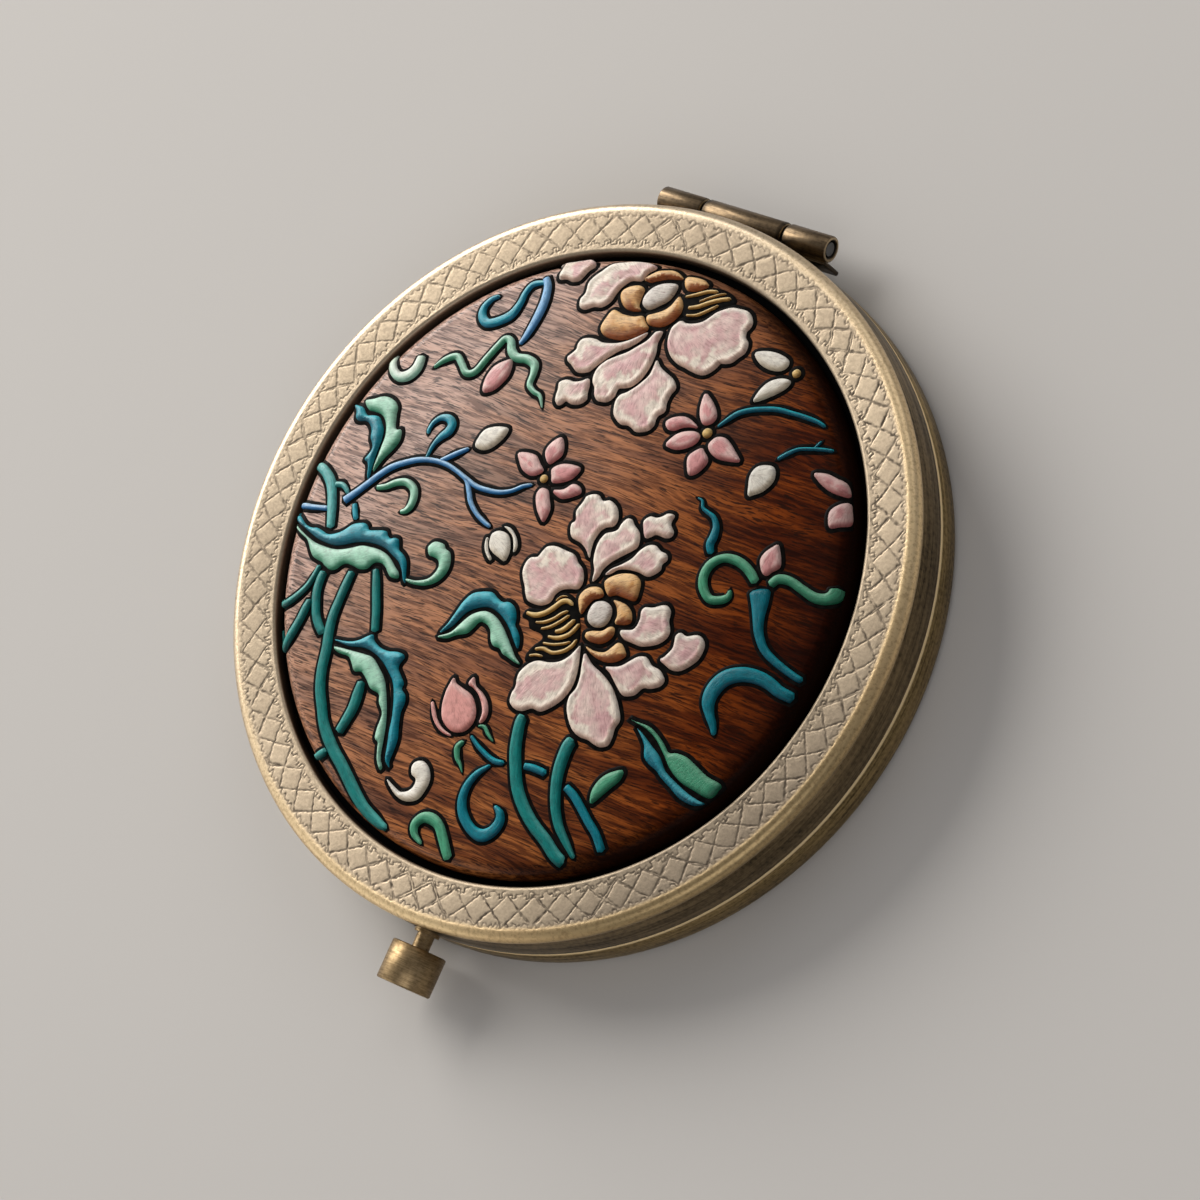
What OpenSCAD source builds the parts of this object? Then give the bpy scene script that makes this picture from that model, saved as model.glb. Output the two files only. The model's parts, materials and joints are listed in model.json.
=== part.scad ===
// Round compact mirror: a base tray and a domed lid on a three-knuckle hinge, held shut by a
// latch spring that a push knob at the front lets go. Lengths are in millimetres. The origin is
// the centre of the base's flat underside, +Z goes up through the lid, the hinge is at +Y and
// the knob at -Y.

/* [Case] */
// Outer diameter of the case
case_d = 70; // [62:1:90]
// Height of the base, from its underside to the parting line
base_h = 3.8; // [3.6:0.1:6]
// Height of the lid, from the parting line to the top of the bezel
lid_h = 5; // [4.8:0.1:7]
// Thickness of the base's floor
floor_t = 0.8; // [0.6:0.05:1]
// Thickness of the lid's plate, which carries the inlay above and the mirror below
plate_t = 0.8; // [0.6:0.05:0.9]
// Thickness of the lid's skirt at the parting line
skirt_t = 0.6; // [0.5:0.05:0.9]
// Radius of the base's rounded bottom edge
foot_round = 1; // [0.4:0.1:1.5]
// How far the lid's side draws in between the parting line and the bead
waist_in = 0.85; // [0.4:0.05:1]
// Thickness of the lid's side where it is drawn in
waist_t = 0.75; // [0.6:0.05:1]
// Height of the base's collar, which guides the lid as it shuts
collar_h = 1; // [0.6:0.1:1.2]
// Thickness of the collar
collar_t = 0.5; // [0.4:0.05:0.8]
// Chamfer on both sides of the parting line
seam_chamfer = 0.12; // [0.05:0.01:0.2]

/* [Bezel] */
// Width of the bezel, from the case's edge to the window
bezel_w = 5; // [4.4:0.1:7]
// Thickness of the bezel's sheet
bezel_t = 0.6; // [0.4:0.05:0.7]
// Radius of the rolled bead along the bezel's outer edge
bead_r = 0.9; // [0.88:0.01:1.1]
// Radius of the rounded window edge
lip_round = 0.4; // [0.2:0.05:0.5]
// Depth of the inlay's seat below the top of the bezel
pocket_d = 1.5; // [1.2:0.05:1.7]
// Number of full diamonds in the stamped lattice
lattice_count = 72; // [48:1:90]
// Distance of the lattice inside the case's edge
lattice_in = 1.2; // [1:0.05:1.4]
// Width of the stamped band that holds the lattice
lattice_w = 2.9; // [2.4:0.1:3.1]
// Width of the grooves between the diamonds
groove_w = 0.22; // [0.15:0.01:0.3]
// Depth of the grooves
groove_d = 0.12; // [0.08:0.01:0.2]

/* [Inlay] */
// Dark gap between the inlay and the bezel's window
inlay_gap = 0.7; // [0.3:0.05:1]
// Height of the dome's crown above the bezel
crown_rise = 1.8; // [1.4:0.1:3]
// Height of the dome's shoulder above the bezel
shoulder_rise = 0.7; // [0.4:0.05:1]
// Radius of the dome's rolled edge
shoulder_r = 1.6; // [1:0.1:2]
// How far the ornament stands up from the wood
relief_h = 0.35; // [0.2:0.05:0.6]

/* [Mirrors] */
// Thickness of the lid's flat mirror
lid_glass_t = 1.4; // [1:0.1:1.5]
// Thickness of the base's mirror at its edge
base_glass_t = 1.9; // [1.6:0.1:2]
// Radius of the magnifying mirror's hollow face
hollow_r = 500; // [400:10:900]
// Thickness of the pads behind the mirrors
pad_t = 0.3; // [0.2:0.05:0.4]
// Thickness of the retaining rings' inward lips
ring_lip_t = 0.4; // [0.3:0.05:0.45]
// Wall of the retaining rings outside the glass
ring_wall = 0.75; // [0.5:0.05:1]
// Width of the retaining rings' lips over the glass
ring_lip_w = 1.2; // [0.8:0.1:2]

/* [Hinge] */
// Length of the hinge
hinge_len = 19; // [16:0.1:26]
// Length of the middle knuckle
middle_len = 8.9; // [6:0.1:10]
// Outer radius of the knuckles
knuckle_r = 1.25; // [1.1:0.05:1.3]
// Radius of the hinge pin
pin_r = 0.65; // [0.4:0.05:0.75]
// Distance of the hinge axis outside the case's edge
hinge_out = 1; // [0.95:0.05:1.3]
// Gap between neighbouring knuckles
knuckle_gap = 0.3; // [0.1:0.01:0.4]
// How far the hinge pin's ends lie inside the knuckles
pin_recess = 0.15; // [0.05:0.05:0.5]
// Radius of the countersinks at the hinge's ends
sink_r = 0.95; // [0.85:0.05:1]
// Depth of the countersinks
sink_depth = 0.3; // [0.1:0.05:0.5]
// Thickness of the hinge's leaves
leaf_t = 0.45; // [0.4:0.05:0.6]
// Distance of the base leaf's lower edge above the underside
base_leaf_z = 0.9; // [0.5:0.1:1.5]
// Depth of the flats on the case behind the knuckles
flat_d = 0.55; // [0.5:0.05:0.7]

/* [Push knob] */
// Diameter of the knob
knob_d = 5.2; // [4:0.1:6]
// Length of the knob
knob_len = 3.8; // [3:0.1:6]
// Chamfer on the knob's edges
knob_chamfer = 0.12; // [0.1:0.01:0.4]
// Thickness of the knob beyond the end of its stem
knob_cap = 1.1; // [0.8:0.1:1.5]
// Length that the knob travels
press = 1.2; // [0.8:0.1:1.5]
// Free space left between the knob and its bush when it is pressed
press_spare = 0.2; // [0.1:0.05:0.5]
// Diameter of the stem
stem_d = 1.65; // [1.2:0.05:1.8]
// Radius of the stem's inner head
head_r = 1.35; // [1.2:0.05:1.6]
// Thickness of the stem's inner head
head_t = 0.5; // [0.3:0.05:0.6]
// Height of the stem's axis above the parting line
stem_rise = 0.15; // [0:0.05:0.2]
// Wall of the bush round the stem
bush_wall = 0.35; // [0.25:0.05:0.4]
// How far the bush stands out of the case
bush_out = 0.3; // [0.1:0.05:0.5]
// Depth of the boss that holds the bush, in from the wall
boss_t = 1.35; // [1:0.05:1.5]
// Width of the boss
boss_w = 5.2; // [4.6:0.1:5.4]
// Cover of the boss over the bush
boss_cover = 0.3; // [0.2:0.05:0.35]

/* [Latch] */
// Thickness of the latch spring's strip
spring_t = 0.3; // [0.2:0.05:0.35]
// Depth of the latch spring's foot
spring_foot = 1.4; // [1.2:0.1:1.8]
// Height of the latch spring above the parting line
spring_rise = 1; // [0.6:0.1:1.2]
// Thickness of the hook's plate
hook_t = 0.6; // [0.4:0.05:0.65]
// Width of each of the hook's two prongs
prong_w = 1.5; // [1:0.1:2]
// How far the prongs reach below the parting line
hook_drop = 1.2; // [1:0.1:1.4]
// How far the prongs' noses stand out
nose_out = 0.5; // [0.4:0.05:0.6]
// Height of the noses
nose_h = 0.5; // [0.4:0.05:0.6]
// How far the spring's catches reach over the noses
catch_over = 0.25; // [0.15:0.05:0.35]
// Radius of the rivets' shanks
rivet_r = 0.35; // [0.25:0.05:0.4]
// Radius of the rivets' heads
rivet_head_r = 0.6; // [0.5:0.05:0.65]
// Height of the rivets' heads
rivet_head_h = 0.3; // [0.2:0.05:0.35]

/* [Clearances] */
// Gap between the lid and what it shuts over
lid_gap = 0.15; // [0.1:0.01:0.25]
// Gap between the prongs and the boss or the wall
prong_gap = 0.3; // [0.2:0.05:0.4]
// Gap between the middle knuckle and the base leaf below it
knuckle_clear = 0.2; // [0.1:0.05:0.3]
// Radial running clearance of the hinge pin and of the stem
run_gap = 0.04; // [0.01:0.01:0.1]
// Radial clearance of pieces that are pressed or glued together
seat_gap = 0.01; // [0.01:0.005:0.03]
// Gap between the stem's head and the latch spring
head_gap = 0.05; // [0.02:0.01:0.1]
// Gap between the latch spring's foot and the base mirror's ring
ring_gap = 0.35; // [0.2:0.05:0.6]

/* [Hidden] */

// One overrun serves every cut
over = 1;
round_fn = 192;
fine_fn = 48;
dome_fn = 2400;

// Radii of the case, from its edge inwards
case_r = case_d / 2;
skirt_r = case_r - skirt_t;
collar_ro = skirt_r - lid_gap;
collar_ri = collar_ro - collar_t;
waist_r = case_r - waist_in;
lid_in_r = waist_r - waist_t;
boss_ro = lid_in_r - lid_gap;
boss_ri = boss_ro - boss_t;
window_r = case_r - bezel_w;
lip_ro = window_r + bezel_t;
lattice_ro = case_r - lattice_in;
lattice_ri = lattice_ro - lattice_w;
bead_turn = 80;

// Heights of the case, from the underside up
top_z = base_h + lid_h;
bead_z = top_z - bead_r;
bead_end_z = bead_z - bead_r * sin(bead_turn);
land_z = top_z - bezel_t;
pocket_z = top_z - pocket_d;
plate_z = pocket_z - plate_t;
collar_z = base_h + collar_h;
skirt_z = collar_z + lid_gap;
chamfer_z = base_h + seam_chamfer;

// The stem and the pieces on its axis
stem_r = stem_d / 2;
stem_z = base_h + stem_rise;
bush_r = stem_r + run_gap + bush_wall;
boss_z = stem_z + bush_r + boss_cover;
bush_y = -case_r - bush_out;
knob_y = bush_y - press - press_spare;
knob_r = knob_d / 2;
knob_bore = knob_len - knob_cap;
head_y = -boss_ri + head_t;

// The latch, from the stem's head inwards
spring_y = head_y + head_gap;
spring_foot_y = spring_y + spring_foot;
spring_z = base_h + spring_rise;
prong_x = boss_w / 2 + prong_gap;
prong_xo = prong_x + prong_w;
prong_y = -sqrt(pow(boss_ro, 2) - pow(prong_xo, 2));
nose_z = base_h - hook_drop;
nose_tip_y = prong_y + hook_t + nose_out;
catch_y = nose_tip_y - catch_over;
catch_z = nose_z + nose_h + lid_gap;
rivet_depth = floor_t / 2;
rivet_y = (spring_y + spring_t + spring_foot_y) / 2;
rivet_places = [[-prong_x, rivet_y], [prong_x, rivet_y]];

// The mirrors and their rings
ring_r = -spring_foot_y - ring_gap;
glass_r = ring_r - ring_wall;
pad_r = glass_r - ring_wall / 2;
ring_in_r = glass_r - ring_lip_w;
base_glass_z = floor_t + pad_t;
base_ring_z = base_glass_z + base_glass_t + ring_lip_t;
lid_glass_z = plate_z - pad_t - lid_glass_t;
lid_ring_z = lid_glass_z - ring_lip_t;

// The dome: a spherical crown that ends in a rolled edge
inlay_r = window_r - inlay_gap;
roll_r = inlay_r - shoulder_r;
roll_z = top_z + shoulder_rise - shoulder_r;
crown_sag = crown_rise - shoulder_rise;
crown_r = (pow(roll_r, 2) + pow(crown_sag, 2)) / (2 * crown_sag);
crown_z = roll_z - sqrt(pow(crown_r - shoulder_r, 2) - pow(roll_r, 2));
relief_r = roll_r - relief_h / 2;

// The ornament's tables give places, lengths and widths in thirtieths of the window's radius
ornament = window_r / 30;

// The hinge
hinge_y = case_r + hinge_out;
hinge_z = base_h;
flat_y = case_r - flat_d;
outer_len = (hinge_len - middle_len) / 2 - knuckle_gap;
leaf_x = hinge_len / 2;
leaf_y = flat_y + leaf_t;
notch_z = hinge_z - knuckle_r - knuckle_clear;
bore_r = pin_r + run_gap;
lid_leaf_z = bead_z - bead_r - seat_gap;

// A point list along an arc
function arc(x, y, r, from, to, steps) =
    [for (i = [0 : steps]) let (a = from + (to - from) * i / steps) [x + r * cos(a), y + r * sin(a)]];

// Radius of the lid's side at height z: upright at the skirt, drawn in under the bead
function side_r(z) = case_r - waist_in * pow((z - base_h) / (land_z - base_h), 2);

// Outline of the lid's side, from the parting line up
function side_outline(steps = 12) =
    [for (i = [0 : steps]) let (z = base_h + (land_z - base_h) * i / steps) [side_r(z), z]];

// A cylinder along Y that starts at y and runs towards -Y
module rod_y(y, z, r, length) {
    translate([0, y, z]) rotate([90, 0, 0]) cylinder(r = r, h = length, $fn = fine_fn);
}

// A cylinder along X, centred on x, on the hinge axis
module rod_x(x, r, length) {
    translate([x - length / 2, hinge_y, hinge_z]) rotate([0, 90, 0])
        cylinder(r = r, h = length, $fn = fine_fn);
}

// A box between two corners
module block(low, high) {
    translate(low) cube(high - low);
}

// The flat cut into the back of the case behind the hinge, up to a given height
module back_flat(height) {
    block([-case_r, flat_y, -over], [case_r, case_r + over, height]);
}

// The base: floor, wall, collar and the boss that holds the bush
module base_shell() {
    color("#6b5a40") difference() {
        union() {
            rotate_extrude($fn = round_fn) polygon(concat(
                [[0, 0]],
                arc(case_r - foot_round, foot_round, foot_round, -90, 0, 6),
                [[case_r, base_h - seam_chamfer], [case_r - seam_chamfer, base_h], [collar_ro, base_h],
                    [collar_ro, collar_z - seam_chamfer], [collar_ro - seam_chamfer, collar_z],
                    [collar_ri, collar_z], [collar_ri, floor_t], [0, floor_t]]));
            bush_boss();
        }
        rod_y(-boss_ri + over, stem_z, bush_r + seat_gap, case_r);
        back_flat(collar_z);
        rivet_holes(floor_t - rivet_depth);
    }
}

// The boss: it fills in from the wall, and its upper part clears the lid's side
module bush_boss() {
    intersection() {
        block([-boss_w / 2, -case_r, floor_t - seat_gap], [boss_w / 2, -boss_ri, boss_z]);
        union() {
            cylinder(r = collar_ri + collar_t / 2, h = collar_z, $fn = round_fn);
            cylinder(r = boss_ro, h = top_z, $fn = round_fn);
        }
    }
}

// Pads, mirrors and rings
module base_mirror_pad() {
    color("#2b2b2b") translate([0, 0, floor_t]) cylinder(r = pad_r, h = pad_t, $fn = round_fn);
}

module lid_mirror_pad() {
    color("#2b2b2b") translate([0, 0, plate_z - pad_t]) cylinder(r = pad_r, h = pad_t, $fn = round_fn);
}

// Depth of the magnifying mirror's hollow face at radius r
function hollow_depth(r) = sqrt(pow(hollow_r, 2) - pow(r, 2)) - sqrt(pow(hollow_r, 2) - pow(ring_in_r, 2));

module base_mirror() {
    steps = 16;
    color("#cfd6da") translate([0, 0, base_glass_z]) rotate_extrude($fn = round_fn) polygon(concat(
        [[0, 0], [glass_r, 0], [glass_r, base_glass_t]],
        [for (i = [steps : -1 : 0]) let (r = ring_in_r * i / steps) [r, base_glass_t - hollow_depth(r)]]));
}

module lid_mirror() {
    color("#cfd6da") translate([0, 0, lid_glass_z]) cylinder(r = glass_r, h = lid_glass_t, $fn = round_fn);
}

// A retaining ring that holds glass of the given thickness, standing on its wall
module mirror_ring(glass_t) {
    h = pad_t + glass_t + ring_lip_t;
    rotate_extrude($fn = round_fn) polygon([
        [glass_r + seat_gap, 0], [ring_r, 0], [ring_r, h - ring_lip_t / 2], [ring_r - ring_lip_t / 2, h],
        [ring_in_r, h], [ring_in_r, h - ring_lip_t / 2], [ring_in_r + ring_lip_t / 2, h - ring_lip_t],
        [glass_r + seat_gap, h - ring_lip_t]]);
}

module base_mirror_ring() {
    color("#c9a25a") translate([0, 0, floor_t]) mirror_ring(base_glass_t);
}

module lid_mirror_ring() {
    color("#c9a25a") translate([0, 0, plate_z]) mirror([0, 0, 1]) mirror_ring(lid_glass_t);
}

// The lid: side wall, plate and the land that the bezel sits on
module lid_shell() {
    color("#6b5a40") difference() {
        rotate_extrude($fn = round_fn) polygon(concat(
            [[skirt_r, base_h], [case_r - seam_chamfer, base_h], [side_r(chamfer_z), chamfer_z]],
            [for (p = side_outline()) if (p[1] > chamfer_z) p],
            [[lip_ro + seat_gap, land_z], [lip_ro + seat_gap, pocket_z], [0, pocket_z], [0, plate_z],
                [lid_in_r, plate_z], [lid_in_r, skirt_z], [skirt_r, skirt_z]]));
        back_flat(land_z);
        bush_notch();
        translate([0, 0, plate_z + rivet_depth]) mirror([0, 0, 1]) rivet_holes(0);
    }
}

// The notch that lets the lid come down over the bush
module bush_notch() {
    r = bush_r + lid_gap;
    rod_y(-boss_ri, stem_z, r, case_r);
    block([-r, -case_r - over, base_h - over], [r, -boss_ri, stem_z]);
}

// The bezel: window lip, flat face with the stamped lattice, and rolled bead
module bezel_ring() {
    color("#bfa678") difference() {
        rotate_extrude($fn = round_fn) polygon(concat(
            [[window_r, pocket_z]],
            arc(window_r + lip_round, top_z - lip_round, lip_round, 180, 90, 6),
            arc(case_r - bead_r, bead_z, bead_r, 90, -bead_turn, 17),
            [[side_r(bead_z - bead_r) + seat_gap, bead_end_z], [side_r(land_z) + seat_gap, land_z],
                [lip_ro, land_z], [lip_ro, pocket_z]]));
        for (i = [0 : lattice_count - 1]) rotate(i * 360 / lattice_count)
            for (side = [0, 1]) mirror([0, side, 0]) groove();
    }
}

// One straight groove across the stamped band, which runs one diamond aside on its way out
module groove() {
    half = 180 / lattice_count;
    from = lattice_ri * [cos(half), -sin(half)];
    to = lattice_ro * [cos(half), sin(half)];
    run = to - from;
    aside = [-run[1], run[0]] / norm(run) * groove_w / 2;
    translate([0, 0, top_z - groove_d]) linear_extrude(groove_d + over)
        polygon([from - aside, to - aside, to + aside, from + aside]);
}

// Outline of the dome's section, raised by grow
module dome_section(grow) {
    intersection() {
        translate([0, crown_z]) circle(r = crown_r + grow, $fn = dome_fn);
        translate([0, pocket_z]) square([roll_r, top_z]);
    }
}

module wood_inlay() {
    color("#5a2413") rotate_extrude($fn = round_fn) {
        dome_section(0);
        translate([0, pocket_z]) square([inlay_r, roll_z - pocket_z]);
        intersection() {
            translate([roll_r, roll_z]) circle(r = shoulder_r, $fn = 96);
            translate([roll_r - shoulder_r / 2, roll_z]) square([inlay_r, shoulder_r]);
        }
    }
}

// Keeps what is drawn inside it to a layer that lies on the dome
module on_dome() {
    intersection() {
        rotate_extrude($fn = round_fn) difference() {
            intersection() {
                translate([0, crown_z]) circle(r = crown_r + relief_h, $fn = dome_fn);
                translate([0, pocket_z]) square([relief_r, top_z]);
            }
            translate([0, crown_z]) circle(r = crown_r + seat_gap, $fn = dome_fn);
        }
        linear_extrude(top_z + lid_h) children();
    }
}

// One petal, from its row of root place, turn, length and width; a small power makes it blunt
module petal(row, power) {
    steps = 7;
    half = [for (i = [1 : steps - 1]) let (t = (1 - cos(180 * i / steps)) / 2)
        [row[3] * t, row[4] / 2 * pow(sin(180 * pow(t, 1.3)), power)]];
    under = [for (i = [len(half) - 1 : -1 : 0]) [half[i][0], -half[i][1]]];
    translate([row[0], row[1]] * ornament) rotate(row[2])
        polygon(concat([[0, 0]], half, [[row[3], 0]], under) * ornament);
}

// A smooth curve through a list of points, two steps to a span
function smooth(p) = concat([for (i = [0 : len(p) - 2]) for (t = [0, 0.5])
    let (a = p[max(i - 1, 0)], b = p[i], c = p[i + 1], d = p[min(i + 2, len(p) - 1)])
    b + (c - a) * t / 2 + (2 * a - 5 * b + 4 * c - d) * t * t / 2 + (3 * b - 3 * c + d - a) * t * t * t / 2],
    [p[len(p) - 1]]);

// A stem, leaf or curl along a smooth spine, from its rows of place and width
module ribbon(rows) {
    p = smooth(rows) * ornament;
    last = len(p) - 1;
    place = [for (q = p) [q[0], q[1]]];
    side = [for (i = [0 : last]) let (run = place[min(i + 1, last)] - place[max(i - 1, 0)])
        [-run[1], run[0]] / norm(run) * p[i][2] / 2];
    polygon(concat([for (i = [0 : last]) place[i] + side[i]],
        [for (i = [last : -1 : 0]) place[i] - side[i]]));
}

// Blunt petals of the lower and the upper peony: root x and y, turn, length and width
peony_shares = [
    [4.2, -2.4, 173, 6.5, 5.6], [4.6, 0.4, 117, 6.6, 4.4], [5.3, -0.6, 80, 6.3, 3.3], [6.9, 1, 33, 4.9, 2.6],
    [8.6, 4.5, 64, 3, 2.8], [10.1, -4.4, 37, 5.2, 3.7], [15.1, -5.2, 44, 3.9, 3], [10.5, -7, -6, 5, 3.5],
    [8, -7.7, -57, 7.6, 4.7], [7, -7.6, -119, 7.1, 5],
    [-5.5, 26.2, -137, 4.8, 3.3], [1.7, 22.9, 10, 7.8, 6.3], [0, 21.8, -111, 7.2, 4.2],
    [1.5, 19.8, -85, 6.5, 4.9], [-3, 20.2, -156, 4.9, 3.2], [-4, 16.4, -139, 3.7, 3]];

// Pointed petals of the small flowers, then single petals and buds
flower_shares = [
    [9.2, 16, 113, 3.1, 1.9], [8.5, 15.5, -175, 3.4, 1.5], [8.8, 14.5, -148, 3.3, 1.9],
    [9.6, 14.1, -86, 2.9, 1.9], [10.4, 14.8, -16, 3.8, 1.9],
    [-4.4, 7.3, 92, 3.4, 1.9], [-5.2, 6.8, 153, 3.3, 1.8], [-3.6, 6.9, 30, 3.2, 1.8],
    [-3.3, 6.2, -8, 3.1, 1.5], [-4.1, 5.4, -61, 3.2, 1.8],
    [13.9, 23.2, 174, 3.8, 1.7], [14.7, 22.2, -133, 3.6, 1.6], [21.4, 14.9, -7, 3.6, 1.5],
    [23.2, 13.4, -50, 1.8, 1.2], [17.1, 14.3, -113, 3.4, 2.5], [-12.8, 7.2, 45, 4, 2.3],
    [-6.8, 0.7, -46, 3.2, 2.3], [-13.2, 15.3, -111, 3.4, 1.9], [20.7, 5.4, 88, 2.9, 1.9],
    [-1.6, -17.9, 120, 5.2, 3.9]];

// Cream curls: rows of x, y and width
cream_shares = [
    [[-24.9, 12, 0.6], [-23.8, 11.5, 1], [-23, 12.4, 0.9], [-23.2, 13.6, 0.6]],
    [[-6.9, -24, 0.3], [-5, -25, 0.6], [-3.4, -24.5, 1], [-2.9, -22.9, 1.3], [-3.7, -21.7, 1.1],
        [-4.6, -22, 0.7]]];

module relief_petals() {
    color("#cda0a0") on_dome() {
        for (row = peony_shares) petal(row, 0.5);
        for (row = flower_shares) petal(row, 0.8);
        for (rows = cream_shares) ribbon(rows);
    }
}

// Round centres: x, y and radius
centre_shares = [[7.2, -3.5, 1.2], [-1.9, 25.4, 1.3], [9.4, 15.1, 0.4], [-4.3, 6.4, 0.4]];

// Blunt scales round the peonies' centres
scale_shares = [
    [7.4, -1.7, 62, 2.2, 2.6], [6.2, -2.2, 165, 1.7, 1.6], [8.6, -3.1, 28, 1.3, 1.5],
    [7.3, -5, -60, 1.6, 1.5], [8.9, -5.2, -30, 1.7, 1.3], [-3.5, 24.9, -165, 1.4, 1.5], [-2.6, 23.5, -148, 3.4, 2.5],
    [-0.9, 23.9, -20, 1.8, 1.4], [-0.2, 25.6, 20, 1.5, 1.6]];

// Stamens: rows of x, y and width
stamen_shares = [
    [[5.2, -4.5, 0.4], [3.4, -4.3, 0.4], [1.6, -5, 0.3]],
    [[5.4, -5.2, 0.4], [3.8, -5.4, 0.4], [1.6, -6.3, 0.3]],
    [[5.6, -5.9, 0.4], [4.4, -6.4, 0.4], [2.2, -7.6, 0.3]],
    [[1.5, 26, 0.3], [2.3, 26.3, 0.4], [3.2, 27, 0.3]]];

module relief_centres() {
    color("#c8965a") on_dome() {
        for (row = centre_shares) translate([row[0], row[1]] * ornament)
            circle(r = row[2] * ornament, $fn = fine_fn);
        for (row = scale_shares) petal(row, 0.5);
        for (rows = stamen_shares) ribbon(rows);
    }
}

// Leaves, tendrils and green curls: rows of x, y and width
leaf_shares = [
    [[-25.9, 7.6, 0.6], [-24.4, 7.4, 2.2], [-22.9, 5.2, 2], [-22.2, 2.6, 0.6]],
    [[-21, 0.9, 0.4], [-19.4, 1.6, 0.9], [-17.4, 1.2, 1.2], [-16.9, -0.6, 0.5]],
    [[-26.6, -4.6, 0.6], [-23.8, -5.4, 2.6], [-20, -4.9, 3.8], [-16.6, -5.2, 2.4], [-14.3, -7, 0.4]],
    [[-13.4, -6.6, 0.4], [-11, -6, 0.8], [-10.1, -4.2, 1.3], [-11, -2.9, 1.2], [-12.4, -3.2, 0.6]],
    [[-8, -10.2, 0.4], [-6.4, -7.8, 2.1], [-4.2, -6.5, 2.6], [-1.6, -7.3, 2.3], [0.3, -9.6, 0.4]],
    [[-18, -14, 0.4], [-14.6, -13.6, 1.6], [-11.2, -14.9, 2.8], [-9, -18, 2.5], [-8.4, -21.2, 1.8],
        [-7.6, -23.3, 0.4]],
    [[14.4, -11.2, 0.4], [17, -12, 1.3], [20, -13.5, 2.3], [22.2, -14.7, 1.6], [23.2, -15, 0.6]],
    [[14, -18.8, 0.5], [14.6, -17.2, 1.5], [15.6, -15.6, 0.4]],
    [[19.3, 4.6, 0.7], [17.6, 5, 1], [15.8, 4.2, 1], [15.3, 2.6, 1], [16.2, 1.4, 0.9], [17.6, 1.4, 0.8],
        [18.3, 2.5, 0.5]],
    [[22.5, 4.7, 0.6], [24, 5, 1], [25.8, 5, 0.9], [26.4, 6.2, 0.5]],
    [[-21.2, 12.9, 0.3], [-19.3, 14.6, 0.7], [-17.4, 13.4, 0.7], [-16.1, 14.6, 0.7], [-15.4, 16.8, 0.7],
        [-14.5, 17.5, 0.7], [-13.1, 16.5, 0.8], [-11.2, 16.2, 0.9], [-10.2, 14.2, 0.8], [-8, 12.9, 0.3]],
    [[-1.8, -26.9, 0.5], [-2.2, -25.9, 1], [-0.9, -25.4, 1], [0.7, -25.9, 1], [1.6, -26.8, 0.5]],
    [[-1.2, -18.4, 0.3], [-1, -19.6, 0.7], [0.1, -20.7, 0.3]]];

module relief_leaves() {
    color("#4f9a70") on_dome() for (rows = leaf_shares) ribbon(rows);
}

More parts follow.
